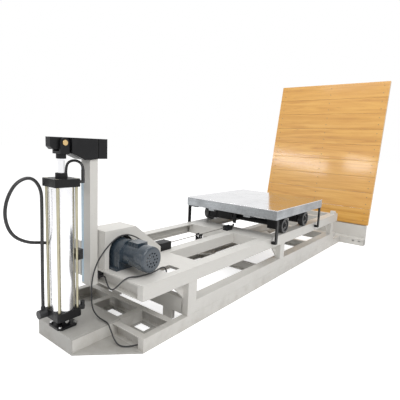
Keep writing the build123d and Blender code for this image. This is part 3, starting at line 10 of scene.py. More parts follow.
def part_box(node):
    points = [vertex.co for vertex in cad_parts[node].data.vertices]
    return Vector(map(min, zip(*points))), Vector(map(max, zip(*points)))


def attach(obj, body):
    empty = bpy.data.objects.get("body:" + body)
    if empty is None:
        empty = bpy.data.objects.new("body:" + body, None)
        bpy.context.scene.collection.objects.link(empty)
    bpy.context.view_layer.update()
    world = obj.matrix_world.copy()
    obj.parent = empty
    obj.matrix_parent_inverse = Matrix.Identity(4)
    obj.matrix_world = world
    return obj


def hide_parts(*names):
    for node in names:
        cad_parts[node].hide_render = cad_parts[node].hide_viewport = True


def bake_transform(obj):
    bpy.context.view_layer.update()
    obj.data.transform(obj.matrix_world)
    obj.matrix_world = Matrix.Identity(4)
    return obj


# Incline impact tester, in metres. Places are written in millimetres from the near end of the
# base frame, as in the part's source, and turned into the row frame by at().
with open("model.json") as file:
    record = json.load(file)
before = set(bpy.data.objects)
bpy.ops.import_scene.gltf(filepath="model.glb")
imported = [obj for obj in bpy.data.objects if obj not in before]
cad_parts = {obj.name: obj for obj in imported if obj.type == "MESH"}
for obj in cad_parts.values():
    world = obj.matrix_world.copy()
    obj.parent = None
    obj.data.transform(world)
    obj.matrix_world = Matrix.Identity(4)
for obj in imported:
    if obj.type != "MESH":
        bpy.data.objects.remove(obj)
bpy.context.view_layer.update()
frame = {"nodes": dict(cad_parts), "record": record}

MM = 0.001
START_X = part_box("base_rails")[0].x
NODES = frame["nodes"]
RANDOM = random.Random(7)
X_AXIS = Vector((1, 0, 0))
Y_AXIS = Vector((0, 1, 0))


def at(x, y, z):
    """Point of the row frame from millimetres."""
    return Vector((START_X + x * MM, y * MM, z * MM))


def into_scene(thing):
    """Links an object to the scene."""
    bpy.context.scene.collection.objects.link(thing)


# Shader nodes


def new_material(name, color, roughness, metallic=0.0, **sockets):
    """Principled material, its tree and its shader."""
    material = bpy.data.materials.new(name)
    material.use_nodes = True
    tree = material.node_tree
    shader = tree.nodes["Principled BSDF"]
    shader.inputs["Base Color"].default_value = (*color, 1)
    shader.inputs["Roughness"].default_value = roughness
    shader.inputs["Metallic"].default_value = metallic
    for socket, value in sockets.items():
        shader.inputs[socket.replace("_", " ")].default_value = value
    return material, tree, shader


def add_node(tree, kind, **values):
    """Shader node with its properties set by name."""
    node = tree.nodes.new("ShaderNode" + kind)
    for name, value in values.items():
        setattr(node, name, value)
    return node


def feed(tree, value, socket):
    """Gives an input its value, which may be a socket, a colour or a number."""
    if hasattr(value, "is_linked"):
        tree.links.new(value, socket)
    elif isinstance(value, tuple):
        socket.default_value = (*value, 1)
    else:
        socket.default_value = value


def calculate(tree, operation, *values):
    """Outcome of a math node on sockets and numbers."""
    node = add_node(tree, "Math", operation=operation)
    for value, socket in zip(values, node.inputs):
        feed(tree, value, socket)
    return node.outputs[0]


def object_place(tree):
    """Coordinates of the object itself."""
    return add_node(tree, "TexCoord").outputs["Object"]


def stretched(tree, place, scale):
    """Coordinates stretched along the axes."""
    mapping = add_node(tree, "Mapping")
    mapping.inputs["Scale"].default_value = scale
    tree.links.new(place, mapping.inputs["Vector"])
    return mapping.outputs["Vector"]


def height_of(tree, place):
    """Z of coordinates."""
    split = add_node(tree, "SeparateXYZ")
    tree.links.new(place, split.inputs["Vector"])
    return split.outputs["Z"]


def noise(tree, scale, detail=3.0, rough=0.5, stretch=(1, 1, 1), warp=0.0, place=None):
    """Noise in object coordinates, or in those of a place."""
    if place is None:
        place = object_place(tree)
    node = add_node(tree, "TexNoise")
    node.inputs["Scale"].default_value = scale
    node.inputs["Detail"].default_value = detail
    node.inputs["Roughness"].default_value = rough
    node.inputs["Distortion"].default_value = warp
    tree.links.new(stretched(tree, place, stretch), node.inputs["Vector"])
    return node.outputs["Fac"]


def remap(tree, value, low, high, new_low, new_high):
    """Value moved from one range to another, clamped."""
    node = add_node(tree, "MapRange")
    node.inputs["From Min"].default_value = low
    node.inputs["From Max"].default_value = high
    node.inputs["To Min"].default_value = new_low
    node.inputs["To Max"].default_value = new_high
    tree.links.new(value, node.inputs["Value"])
    return node.outputs["Result"]


def ramp(tree, value, stops):
    """Colour ramp of (place, colour) stops."""
    node = add_node(tree, "ValToRGB")
    while len(node.color_ramp.elements) < len(stops):
        node.color_ramp.elements.new(0.5)
    for element, (place, color) in zip(node.color_ramp.elements, stops):
        element.position = place
        element.color = (*color, 1)
    tree.links.new(value, node.inputs["Fac"])
    return node.outputs["Color"]


COLOR_MIX_INPUTS = (0, 6, 7)
COLOR_MIX_OUTPUT = 2


def mix(tree, share, first, second):
    """Two colours mixed. A colour or the share may be a socket or a value."""
    node = add_node(tree, "Mix", data_type="RGBA")
    for number, value in zip(COLOR_MIX_INPUTS, (share, first, second)):
        feed(tree, value, node.inputs[number])
    return node.outputs[COLOR_MIX_OUTPUT]


def bump(tree, shader, height, strength, distance, before=None):
    """Bump on the shader's normal, over an earlier one if there is one."""
    node = add_node(tree, "Bump")
    node.inputs["Strength"].default_value = strength
    node.inputs["Distance"].default_value = distance
    tree.links.new(height, node.inputs["Height"])
    if before is not None:
        tree.links.new(before, node.inputs["Normal"])
    tree.links.new(node.outputs["Normal"], shader.inputs["Normal"])
    return node.outputs["Normal"]


def vary_roughness(tree, shader, value, least, most):
    """Roughness that follows a noise between two bounds."""
    tree.links.new(remap(tree, value, 0.3, 0.7, least, most), shader.inputs["Roughness"])


def shade(color, factor, lift=0.0):
    """Colour made darker or lighter."""
    return tuple(min(1.0, channel * factor + lift) for channel in color)


# Materials

DIRT_SHARE = 0.35
GRIME_HEIGHT = 0.16
RUB_SHARE = 0.35
BOARD_DRIFT = 9.0


def floor_grime(tree):
    """Patches of grime that fade out above the floor."""
    patches = remap(tree, noise(tree, 14, 5, 0.65), 0.42, 0.72, 0.0, 1.0)
    near_floor = remap(tree, height_of(tree, object_place(tree)), 0.0, GRIME_HEIGHT, 1.0, 0.0)
    return calculate(tree, "MULTIPLY", near_floor, patches)


def painted_steel(name, color, dirt, roughness):
    """Sprayed paint: faint clouds, thin streaks, orange peel and grime near the floor."""
    material, tree, shader = new_material(name, color, roughness, Coat_Weight=0.12, Coat_Roughness=0.25)
    clouds = remap(tree, noise(tree, 3.2, 4, 0.55), 0.35, 0.75, 0.0, 0.22)
    body = mix(tree, clouds, color, shade(color, 0.90))
    streaks = noise(tree, 9, 5, 0.6, (1.0, 1.0, 7.0), 0.4)
    body = mix(tree, remap(tree, streaks, 0.52, 0.80, 0.0, DIRT_SHARE * 0.55), body, shade(color, 0.82))
    body = mix(tree, remap(tree, floor_grime(tree), 0, 1, 0, DIRT_SHARE), body, dirt)
    specks = remap(tree, noise(tree, 160, 2, 0.5), 0.70, 0.76, 0.0, DIRT_SHARE)
    body = mix(tree, specks, body, shade(dirt, 0.6))
    tree.links.new(body, shader.inputs["Base Color"])
    vary_roughness(tree, shader, noise(tree, 22, 4), roughness - 0.07, roughness + 0.1)
    peel = bump(tree, shader, noise(tree, 420, 2, 0.5), 0.25, 0.0004)
    bump(tree, shader, noise(tree, 18, 3, 0.5), 0.10, 0.002, peel)
    return material


def bare_metal(name, color, dark, roughness, stretch, scale=60.0, spread=0.10):
    """Metal with brushed lines along the axis that the stretch leaves long."""
    material, tree, shader = new_material(name, color, roughness, 1.0)
    lines = noise(tree, scale, 5, 0.6, stretch)
    clouds = noise(tree, 7, 4, 0.6)
    body = mix(tree, remap(tree, lines, 0.3, 0.7, 0.0, RUB_SHARE), color, dark)
    body = mix(tree, remap(tree, clouds, 0.45, 0.75, 0.0, RUB_SHARE * 0.8), body, dark)
    tree.links.new(body, shader.inputs["Base Color"])
    vary_roughness(tree, shader, lines, roughness - spread, roughness + spread)
    bump(tree, shader, lines, 0.12, 0.0003)
    return material


def black_paint():
    """Satin black over machined steel, with faint dust."""
    material, tree, shader = new_material("black_paint", (0.010, 0.010, 0.011), 0.42, Specular_IOR_Level=0.22)
    dust = remap(tree, noise(tree, 26, 5, 0.65), 0.48, 0.85, 0.0, 0.5)
    body = mix(tree, dust, (0.008, 0.008, 0.009), (0.020, 0.020, 0.021))
    tree.links.new(body, shader.inputs["Base Color"])
    vary_roughness(tree, shader, noise(tree, 40, 3), 0.30, 0.5)
    bump(tree, shader, noise(tree, 500, 3, 0.6), 0.3, 0.0004)
    return material


def machine_enamel():
    """Slate blue-grey gloss enamel on a casting."""
    material, tree, shader = new_material("machine_enamel", (0.030, 0.045, 0.062), 0.26, Coat_Weight=0.5,
                                          Coat_Roughness=0.12)
    worn = remap(tree, noise(tree, 16, 5, 0.6), 0.45, 0.8, 0.0, 0.6)
    body = mix(tree, worn, (0.028, 0.043, 0.060), (0.050, 0.068, 0.086))
    chips = remap(tree, noise(tree, 95, 3, 0.6), 0.73, 0.76, 0.0, 0.8)
    body = mix(tree, chips, body, (0.14, 0.15, 0.16))
    tree.links.new(body, shader.inputs["Base Color"])
    vary_roughness(tree, shader, noise(tree, 30, 3), 0.20, 0.36)
    fine = bump(tree, shader, noise(tree, 240, 3, 0.6), 0.35, 0.0006)
    bump(tree, shader, noise(tree, 45, 3, 0.5), 0.25, 0.0015, fine)
    return material


def rubber(name, color, roughness):
    """Extruded rubber with a fine grain and a dusty bloom."""
    material, tree, shader = new_material(name, color, roughness)
    bloom = remap(tree, noise(tree, 35, 5, 0.6), 0.4, 0.8, 0.0, 0.7)
    body = mix(tree, bloom, color, shade(color, 2.2, 0.004))
    tree.links.new(body, shader.inputs["Base Color"])
    vary_roughness(tree, shader, noise(tree, 60, 3), roughness - 0.08, roughness + 0.1)
    bump(tree, shader, noise(tree, 700, 3, 0.6), 0.25, 0.0004)
    return material


def moulded_plastic(name, color, roughness):
    """Moulded plastic with a fine grain."""
    material, tree, shader = new_material(name, color, roughness)
    haze = remap(tree, noise(tree, 50, 4, 0.6), 0.4, 0.8, 0.0, 0.35)
    body = mix(tree, haze, color, shade(color, 1.5, 0.01))
    tree.links.new(body, shader.inputs["Base Color"])
    bump(tree, shader, noise(tree, 900, 2, 0.5), 0.25, 0.0003)
    return material


def turned_place(tree, lean):
    """Object coordinates turned upright about Y."""
    turn = add_node(tree, "Mapping", vector_type="POINT")
    turn.inputs["Rotation"].default_value = (0, -lean, 0)
    tree.links.new(object_place(tree), turn.inputs["Vector"])
    return turn.outputs["Vector"]


def board_dice(tree, place, pitch, shift):
    """Random value and colour that stay the same all over one board."""
    row = calculate(tree, "DIVIDE", height_of(tree, place), pitch)
    board = calculate(tree, "FLOOR", calculate(tree, "ADD", row, shift))
    dice = add_node(tree, "TexWhiteNoise", noise_dimensions="1D")
    tree.links.new(board, dice.inputs["W"])
    return dice.outputs["Value"], dice.outputs["Color"]


def drifted(tree, place, amount):
    """Coordinates moved by a random colour, so that no two boards share their grain."""
    offset = add_node(tree, "VectorMath", operation="SCALE")
    tree.links.new(amount, offset.inputs[0])
    offset.inputs["Scale"].default_value = BOARD_DRIFT
    moved = add_node(tree, "VectorMath", operation="ADD")
    tree.links.new(place, moved.inputs[0])
    tree.links.new(offset.outputs[0], moved.inputs[1])
    return moved.outputs[0]


def varnished_wood(pitch, lean, shift):
    """Golden softwood boards, grain along Y, each board with its own tone, under a clear varnish."""
    material, tree, shader = new_material("varnished_wood", (0.7, 0.38, 0.08), 0.32, Coat_Weight=0.75,
                                          Coat_Roughness=0.10, Coat_IOR=1.5)
    upright = turned_place(tree, lean)
    value, color = board_dice(tree, upright, pitch, shift)
    place = drifted(tree, upright, color)
    bands = noise(tree, 7.0, 5, 0.55, (1, 0.16, 2.6), 1.1, place)
    fibres = noise(tree, 60.0, 4, 0.6, (1, 0.05, 3.0), 0.2, place)
    clouds = noise(tree, 2.4, 4, 0.5, (1, 0.7, 1.5), 0.6, place)
    flecks = noise(tree, 16.0, 4, 0.6, (1, 0.22, 2.2), 0.8, place)
    body = ramp(tree, bands, [(0.30, (0.52, 0.235, 0.040)), (0.44, (0.68, 0.345, 0.062)),
                              (0.56, (0.79, 0.435, 0.092)), (0.72, (0.85, 0.50, 0.130))])
    body = mix(tree, remap(tree, fibres, 0.35, 0.72, 0.0, 0.34), body, (0.50, 0.215, 0.035))
    body = mix(tree, remap(tree, clouds, 0.42, 0.72, 0.0, 0.34), body, (0.60, 0.27, 0.045))
    body = mix(tree, remap(tree, flecks, 0.66, 0.76, 0.0, 0.55), body, (0.34, 0.13, 0.022))
    body = mix(tree, remap(tree, value, 0, 1, 0.0, 0.26), body, (0.58, 0.29, 0.055))
    tree.links.new(body, shader.inputs["Base Color"])
    vary_roughness(tree, shader, fibres, 0.26, 0.42)
    bump(tree, shader, fibres, 0.10, 0.0004)
    return material


def sled_metal(name, color, dark, roughness, stretch):
    """Hot-dip coated sheet: brushed lines, cloudy spangle and rubbed patches."""
    material, tree, shader = new_material(name, color, roughness, 1.0)
    lines = noise(tree, 150, 4, 0.6, stretch)
    spangle = add_node(tree, "TexVoronoi")
    spangle.inputs["Scale"].default_value = 70
    tree.links.new(object_place(tree), spangle.inputs["Vector"])
    clouds = noise(tree, 5, 5, 0.6)
    body = mix(tree, remap(tree, spangle.outputs["Distance"], 0.0, 0.7, 0.0, 0.35), color, dark)
    body = mix(tree, remap(tree, clouds, 0.40, 0.70, 0.0, 0.45), body, dark)
    body = mix(tree, remap(tree, lines, 0.40, 0.70, 0.0, 0.30), body, dark)
    tree.links.new(body, shader.inputs["Base Color"])
    tree.links.new(remap(tree, clouds, 0.35, 0.70, roughness - 0.05, roughness + 0.12),
                   shader.inputs["Roughness"])
    bump(tree, shader, lines, 0.12, 0.0003)
    return material


# Sizes of the panel: its front lower edge is given as X and Z

PANEL_FRONT = (3349.0, 232.0)
PANEL_LEAN = math.radians(10)
PANEL_LENGTH = 1748.0
PANEL_HALF_WIDTH = 692
BOARD_COUNT = 9
BOARD_PITCH = PANEL_LENGTH / BOARD_COUNT
BOARD_THICKNESS = 42
BOARD_GAP = 1.5
BOARD_ROUND = 1.6
BOARD_SET_BACK = 0.6
SCREW_COLUMNS = (-632, 0, 632)
SCREW_ROWS = (0.28, 0.72)
SCREW_RADIUS = 6.0
SCREW_SIDES = 18
SCREW_SINK = 0.4
SCREW_PROFILE = ((0, 0), (0, 1), (0.25, 0.98), (0.48, 0.72), (0.56, 0.34), (0.30, 0.22), (0.30, 0))


def board_shift():
    """Board number, in pitches, at the row frame's origin."""
    front = at(PANEL_FRONT[0], 0, PANEL_FRONT[1])
    return -(front.x * math.sin(PANEL_LEAN) + front.z * math.cos(PANEL_LEAN)) / (BOARD_PITCH * MM)


# Finishes, by the record's material slots

FINISH = {
    "frame_paint": painted_steel("frame_paint", (0.66, 0.645, 0.61), (0.30, 0.26, 0.21), 0.42),
    "nose_paint": painted_steel("nose_paint", (0.44, 0.43, 0.405), (0.22, 0.19, 0.15), 0.46),
    "black_paint": black_paint(),
    "alloy": bare_metal("alloy", (0.84, 0.84, 0.86), (0.70, 0.70, 0.72), 0.24, (1, 1, 0.02), 90, 0.05),
    "chrome": bare_metal("chrome", (0.90, 0.90, 0.92), (0.78, 0.78, 0.80), 0.10, (1, 1, 0.1), 60, 0.03),
    "zinc": bare_metal("zinc", (0.46, 0.43, 0.31), (0.26, 0.24, 0.16), 0.36, (1, 1, 0.2)),
    "bright_steel": bare_metal("bright_steel", (0.70, 0.70, 0.70), (0.45, 0.45, 0.46), 0.30, (1, 1, 1), 90),
    "sled_steel": sled_metal("sled_steel", (0.46, 0.48, 0.50), (0.17, 0.175, 0.18), 0.38, (0.04, 0.04, 1)),
    "motor_paint": machine_enamel(),
    "wheel_black": moulded_plastic("wheel_black", (0.014, 0.014, 0.015), 0.34),
    "black_plastic": moulded_plastic("black_plastic", (0.018, 0.018, 0.020), 0.48),
    "hose_rubber": rubber("hose_rubber", (0.012, 0.012, 0.013), 0.38),
    "brass": bare_metal("brass", (0.70, 0.50, 0.24), (0.46, 0.31, 0.13), 0.30, (1, 1, 1), 90),
    "boards": varnished_wood(BOARD_PITCH * MM, PANEL_LEAN, board_shift()),
    "scale_face": moulded_plastic("scale_face", (0.50, 0.64, 0.76), 0.35),
    "rope_steel": bare_metal("rope_steel", (0.34, 0.32, 0.29), (0.12, 0.11, 0.10), 0.42, (1, 1, 1), 120),
}
# Lighter, glossier copy of the sled steel for the deck's top: its base colour paints in the highlight of the
# lit top.
SLED_TOP_PAINTED_HIGHLIGHT = sled_metal("sled_top_painted_highlight", (0.80, 0.80, 0.81), (0.62, 0.62, 0.64), 0.12, (1, 0.03, 1))
CABLE_SHEATH = rubber("cable_sheath", (0.020, 0.020, 0.022), 0.46)
WORN_BRASS = bare_metal("worn_brass", (0.40, 0.27, 0.14), (0.20, 0.13, 0.07), 0.45, (1, 1, 1), 90)


# CAD nodes

SOFT_EDGE = 1.2
THIN_EDGE = 0.4
THIN_NODES = ("scale_strip", "panel_screws", "winch_rope")
JOIN_DISTANCE = 0.00001
FLAT_ANGLE = math.radians(1.5)
EDGE_ANGLE = math.radians(35)
EDGE_SEGMENTS = 2
EVEN_WEIGHT = 50


def drop_stored_normals(mesh):
    """Takes the loaded normals away, so that the rounded edges shade by their own."""
    normals = mesh.attributes.get("custom_normal")
    if normals:
        mesh.attributes.remove(normals)
    mesh.polygons.foreach_set("use_smooth", [True] * len(mesh.polygons))


def paint_node(node, material):
    """Gives a CAD node its material."""
    materials = NODES[node].data.materials
    materials.clear()
    materials.append(material)


def soften(node, edge):
    """Rounds a CAD node's edges, with flat faces that shade flat."""
    modifiers = NODES[node].modifiers
    join = modifiers.new("join", "WELD")
    join.merge_threshold = JOIN_DISTANCE
    flat = modifiers.new("flat", "DECIMATE")
    flat.decimate_type = "DISSOLVE"
    flat.angle_limit = FLAT_ANGLE
    rounded = modifiers.new("round", "BEVEL")
    rounded.limit_method = "ANGLE"
    rounded.angle_limit = EDGE_ANGLE
    rounded.width = edge * MM
    rounded.segments = EDGE_SEGMENTS
    even = modifiers.new("even", "WEIGHTED_NORMAL")
    even.weight = EVEN_WEIGHT


def dress_nodes():
    """Every CAD node takes the finish of its slot in the record, and the sled's top a lighter copy of the
    sled steel, a painted highlight.
    """
    for part in frame["record"]["subparts"]:
        node = part["node"]
        drop_stored_normals(NODES[node].data)
        paint_node(node, FINISH[part["material_slot"]])
        soften(node, THIN_EDGE if node in THIN_NODES else SOFT_EDGE)
    # The deck's top takes the lighter copy of the sled steel, a painted highlight.
    paint_node("sled_deck", SLED_TOP_PAINTED_HIGHLIGHT)


# Mesh helpers

SHARP_ANGLE = math.radians(32)


def new_object(name, mesh_maker, material):
    """Smooth object with a mesh that is made in a fresh bmesh."""
    made = bmesh.new()
    mesh_maker(made)
    bmesh.ops.recalc_face_normals(made, faces=made.faces)
    mesh = bpy.data.meshes.new(name)
    made.to_mesh(mesh)
    made.free()
    mesh.polygons.foreach_set("use_smooth", [True] * len(mesh.polygons))
    mesh.materials.append(material)
    thing = bpy.data.objects.new(name, mesh)
    into_scene(thing)
    return thing


def new_piece(name, mesh_maker, material, body):
    """Piece that rides on a body, with sharp edges where its faces turn."""
    piece = new_object(name, mesh_maker, material)
    piece.data.set_sharp_from_angle(angle=SHARP_ANGLE)
    even = piece.modifiers.new("even", "WEIGHTED_NORMAL")
    even.keep_sharp = True
    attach(piece, body)
    return piece


def ring(made, centre, side, over, radius, sides):
    """Corners round a centre, in the plane of two directions. A radius of 0 gives one corner."""
    if radius <= 0:
        return [made.verts.new(centre)]
    turns = [2 * math.pi * step / sides for step in range(sides)]
    ways = [side * math.cos(turn) + over * math.sin(turn) for turn in turns]
    return [made.verts.new(centre + way * radius * MM) for way in ways]


def bridge(made, first, second):
    """Faces between two rings, of which one may be a single corner."""
    sides = max(len(first), len(second))
    for step in range(sides):
        after = (step + 1) % sides
        corners = [first[step % len(first)], first[after % len(first)],
                   second[after % len(second)], second[step % len(second)]]
        made.faces.new(list(dict.fromkeys(corners)))


def lathe(made, foot, axis, profile, sides):
    """Solid turned round an axis from a foot point, with a profile of (distance, radius) in millimetres."""
    axis = axis.normalized()
    side = axis.orthogonal().normalized()
    over = axis.cross(side)
    rings = [ring(made, foot + axis * along * MM, side, over, radius, sides) for along, radius in profile]
    for first, second in zip(rings, rings[1:]):
        bridge(made, first, second)


def tube(made, points, radius, sides):
    """Round tube along points in metres, with a radius in millimetres, closed at both ends."""
    rings = []
    side = None
    for index, point in enumerate(points):
        before = points[max(index - 1, 0)]
        after = points[min(index + 1, len(points) - 1)]
        way = (after - before).normalized()
        side = way.orthogonal() if side is None else side - way * side.dot(way)
        side.normalize()
        rings.append(ring(made, point, side, way.cross(side), radius, sides))
    for first, second in zip(rings, rings[1:]):
        bridge(made, first, second)
    made.faces.new(list(reversed(rings[0])))
    made.faces.new(rings[-1])


def block(made, place, low, high, round_edge):
    """Box between two corners in millimetres of a place, with rounded edges."""
    first = Vector(low) * MM
    second = Vector(high) * MM
    matrix = place @ Matrix.Translation((first + second) / 2) @ Matrix.Diagonal((*(second - first), 1))
    corners = bmesh.ops.create_cube(made, size=1, matrix=matrix)["verts"]
    edges = list({edge for corner in corners for edge in corner.link_edges})
    bmesh.ops.bevel(made, geom=edges, offset=round_edge * MM, segments=EDGE_SEGMENTS, affect="EDGES",
                    profile=0.5, clamp_overlap=True)


def pan_screw(made, foot, axis, radius):
    """Low domed screw with a recess."""
    profile = [(along * radius, out * radius) for along, out in SCREW_PROFILE]
    lathe(made, foot, axis, profile, SCREW_SIDES)


# Cords, along the same routes as their CAD nodes

HOSE_LOOP = [
    (-288, 58, 205), (-288, 58, 330), (-283, 62, 540), (-277, 67, 740), (-273, 76, 842), (-318, 86, 905),
    (-392, 90, 882), (-440, 94, 800), (-452, 98, 705), (-420, 100, 612), (-345, 98, 562), (-262, 96, 548),
    (-186, 97, 526), (-128, 88, 500), (-112, 50, 486), (-112, 18, 486),
]
HOSE_TOP = [
    (-152, 44, 912), (-152, 44, 950), (-143, 34, 982), (-118, 0, 992), (-101, -35, 970), (-101, -35, 942),
]
CABLE_LONG = [
    (290, -112, 470), (290, -134, 473), (262, -142, 494), (222, -142, 521), (178, -139, 550),
    (134, -136, 568), (90, -136, 574), (47, -137, 566), (7, -134, 540), (-24, -112, 492), (-44, -82, 430),
    (-56, -62, 362),
    (-62, -54, 296), (-62, -54, 236), (-62, -54, 180), (-53, -62, 133), (-44, -94, 107), (-40, -136, 102),
    (-43, -178, 103), (-50, -212, 76), (-56, -246, 40), (-55, -284, 18), (-40, -320, 17), (-10, -346, 20),
    (16, -366, 25), (28, -392, 28),
]
CABLE_SHORT = [
    (270, -316, 330), (270, -316, 354), (258, -317, 384), (228, -318, 395), (186, -319, 386),
    (140, -321, 382), (92, -318, 383), (46, -309, 382), (8, -301, 390), (-22, -290, 382), (-36, -264, 350),
    (-40, -232, 318), (-40, -202, 301), (-36, -174, 305), (-29, -148, 322), (-16, -120, 333), (0, -94, 335),
    (6, -68, 334), (6, -44, 334),
]
LOOP_RADIUS = 8.5
CAP_HOSE_RADIUS = 7.0
CABLE_RADIUS = 4.0
CURVE_ORDER = 3
CURVE_STEPS = 12
ROUND_STEPS = 5
CABLE_SIDES = 12


def route_curve(name, route, radius):
    """NURBS curve with the route's points as its control points."""
    curve = bpy.data.curves.new(name, "CURVE")
    curve.dimensions = "3D"
    spline = curve.splines.new("NURBS")
    spline.points.add(len(route) - 1)
    for point, place in zip(spline.points, route):
        point.co = (*at(*place), 1)
    spline.order_u = CURVE_ORDER
    spline.use_endpoint_u = True
    spline.resolution_u = CURVE_STEPS
    curve.bevel_depth = radius * MM
    curve.bevel_resolution = ROUND_STEPS
    curve.use_fill_caps = radius > 0
    thing = bpy.data.objects.new(name, curve)
    into_scene(thing)
    return thing


def route_line(route):
    """Points along a route's smooth line, in metres."""
    thread = route_curve("thread", route, 0)
    mesh = bpy.data.meshes.new_from_object(thread)
    points = [vertex.co.copy() for vertex in mesh.vertices]
    curve = thread.data
    bpy.data.objects.remove(thread)
    bpy.data.curves.remove(curve)
    bpy.data.meshes.remove(mesh)
    return points


def held_cord(name, route, radius, material, body, node):
    """Cord held at both ends, standing for its CAD node."""
    piece = route_curve(name, route, radius)
    piece.data.materials.append(material)
    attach(piece, body)
    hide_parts(node)


def bending_cable():
    """Cable from the hood to the base rail: a fixed mesh tube along its route."""
    line = route_line(CABLE_LONG)

    def make(made):
        tube(made, line, CABLE_RADIUS, CABLE_SIDES)

    piece = new_object("cable_over_hood", make, CABLE_SHEATH)
    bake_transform(piece)
    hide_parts("cable_long", "cable_floor")


def cords():
    """Both hoses of the cylinder and both cables."""
    hose = FINISH["hose_rubber"]
    held_cord("hose_big_loop", HOSE_LOOP, LOOP_RADIUS, hose, "cylinder", "hose_loop")
    held_cord("hose_at_top_cap", HOSE_TOP, CAP_HOSE_RADIUS, hose, "cylinder", "hose_top")
    held_cord("cable_of_motor", CABLE_SHORT, CABLE_RADIUS, CABLE_SHEATH, "tilt_frame", "cable_short")
    bending_cable()


# Panel


def panel_place():
    """Matrix of the panel's front lower edge: depth, across and along as x, y and z."""
    depth = Vector((math.cos(PANEL_LEAN), 0, -math.sin(PANEL_LEAN)))
    along = Vector((math.sin(PANEL_LEAN), 0, math.cos(PANEL_LEAN)))
    matrix = Matrix((depth, Y_AXIS, along)).transposed().to_4x4()
    matrix.translation = at(PANEL_FRONT[0], 0, PANEL_FRONT[1])
    return matrix


def boards(place):
    """Boards of the panel, each set back a little by chance."""
    for number in range(BOARD_COUNT):
        set_back = RANDOM.uniform(0, BOARD_SET_BACK)
        low = (set_back, -PANEL_HALF_WIDTH, number * BOARD_PITCH)
        high = (BOARD_THICKNESS, PANEL_HALF_WIDTH, (number + 1) * BOARD_PITCH - BOARD_GAP)

        def make(made):
            block(made, place, low, high, BOARD_ROUND)

        new_piece(f"board_{number + 1}", make, FINISH["boards"], "base")
    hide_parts("panel_boards")


def board_screws(place):
    """Screws in rows across every board, in one piece."""
    face = -(place.to_3x3() @ X_AXIS)

    def make(made):
        for number in range(BOARD_COUNT):
            for column in SCREW_COLUMNS:
                for row in SCREW_ROWS:
                    spot = place @ (Vector((SCREW_SINK, column, (number + row) * BOARD_PITCH)) * MM)
                    pan_screw(made, spot, face, SCREW_RADIUS)

    piece = new_piece("board_screws", make, WORN_BRASS, "base")
    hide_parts("panel_screws")


def panel():
    """Impact panel: its boards and their screws."""
    place = panel_place()
    boards(place)
    board_screws(place)


# Camera: its place, angles and focal length were solved from the photograph's frame edges

CAMERA_PLACE = (-1207.0, -1699.3, 1102.5)
YAW = math.radians(38.1)
PITCH = math.radians(-8.8)
ROLL = math.radians(2.6)
FOCAL_PIXELS = 358.3
IMAGE_PIXELS = 400
SENSOR_WIDTH = 36
VIEW_REACH = 200


def camera():
    """Camera at the photograph's place."""
    forward = Vector((math.cos(YAW) * math.cos(PITCH), math.sin(YAW) * math.cos(PITCH), math.sin(PITCH)))
    side = Vector((math.sin(YAW), -math.cos(YAW), 0))
    over = side.cross(forward)
    right = side * math.cos(ROLL) + over * math.sin(ROLL)
    up = over * math.cos(ROLL) - side * math.sin(ROLL)
    data = bpy.data.cameras.new("camera")
    data.sensor_width = SENSOR_WIDTH
    data.lens = FOCAL_PIXELS / IMAGE_PIXELS * SENSOR_WIDTH
    data.clip_end = VIEW_REACH
    eye = bpy.data.objects.new("camera", data)
    matrix = Matrix((right, up, -forward)).transposed().to_4x4()
    matrix.translation = at(*CAMERA_PLACE)
    eye.matrix_world = matrix
    into_scene(eye)
    bpy.context.scene.camera = eye


# Lights, sky and floor

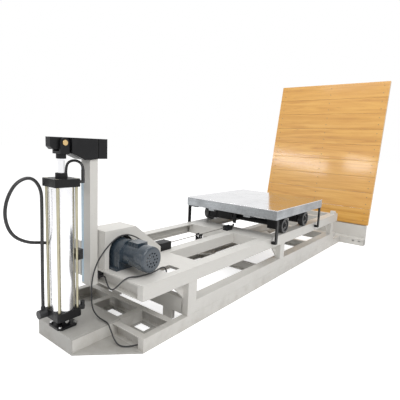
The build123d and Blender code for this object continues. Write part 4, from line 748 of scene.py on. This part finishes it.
NEAR_FRAME = (1300, 0, 300)
MID_FRAME = (1500, 0, 300)
PANEL_MIDDLE = (3469, 0, 950)
LIGHTS = (
    ("light_front", (-900, -3900, 3900), NEAR_FRAME, (3.4, 2.4), 120),
    ("light_above", (1500, 500, 4600), MID_FRAME, (5.0, 3.0), 90),
    ("softbox_left", (-5415, 4316, 3815), PANEL_MIDDLE, (2.3, 0.55), 42),
    ("softbox_right", (-5415, 1943, 3815), PANEL_MIDDLE, (0.95, 0.50), 16),
)
WORLD_LIGHT = 0.50
FLOOR_COLOR = (0.80, 0.80, 0.80)
FLOOR_GLOW = 0.62
FLOOR_REACH = 40
FLOOR_DROP = 0.5
WHITE = (1, 1, 1, 1)


def area_light(name, place, target, size, power):
    """Rectangular light turned to a target."""
    data = bpy.data.lights.new(name, "AREA")
    data.shape = "RECTANGLE"
    data.size, data.size_y = size
    data.energy = power
    lamp = bpy.data.objects.new(name, data)
    lamp.location = at(*place)
    lamp.rotation_mode = "QUATERNION"
    lamp.rotation_quaternion = (at(*place) - at(*target)).to_track_quat("Z", "Y")
    into_scene(lamp)


def seen_directly(tree):
    """1 where the camera or a gloss sees the surface, and 0 where it only gives light."""
    rays = add_node(tree, "LightPath")
    return calculate(tree, "MAXIMUM", rays.outputs["Is Camera Ray"], rays.outputs["Is Glossy Ray"])


def white_world():
    """White surroundings that give a softer light than they show."""
    world = bpy.data.worlds.new("studio")
    bpy.context.scene.world = world
    world.use_nodes = True
    tree = world.node_tree
    sky = tree.nodes["Background"]
    sky.inputs["Color"].default_value = WHITE
    tree.links.new(remap(tree, seen_directly(tree), 0, 1, WORLD_LIGHT, 1.0), sky.inputs["Strength"])


def floor_material():
    """Matt white that fades into the surroundings and keeps the object's shadow."""
    material, tree, shader = new_material("floor_white", FLOOR_COLOR, 0.9, Specular_IOR_Level=0.1)
    shader.inputs["Emission Color"].default_value = WHITE
    glow = remap(tree, seen_directly(tree), 0, 1, 0.0, FLOOR_GLOW)
    tree.links.new(glow, shader.inputs["Emission Strength"])
    return material


def floor():
    """Floor under the object, a little below it."""
    mesh = bpy.data.meshes.new("floor")
    corners = [(x * FLOOR_REACH, y * FLOOR_REACH, 0) for x, y in ((-1, -1), (1, -1), (1, 1), (-1, 1))]
    mesh.from_pydata(corners, [], [(0, 1, 2, 3)])
    mesh.materials.append(floor_material())
    ground = bpy.data.objects.new("floor", mesh)
    ground.location.z = -FLOOR_DROP * MM
    into_scene(ground)


def studio():
    """Soft lights, white surroundings and the floor."""
    bpy.context.scene.view_settings.view_transform = "Standard"
    for light in LIGHTS:
        area_light(*light)
    white_world()
    floor()


dress_nodes()
camera()
cords()
panel()
studio()
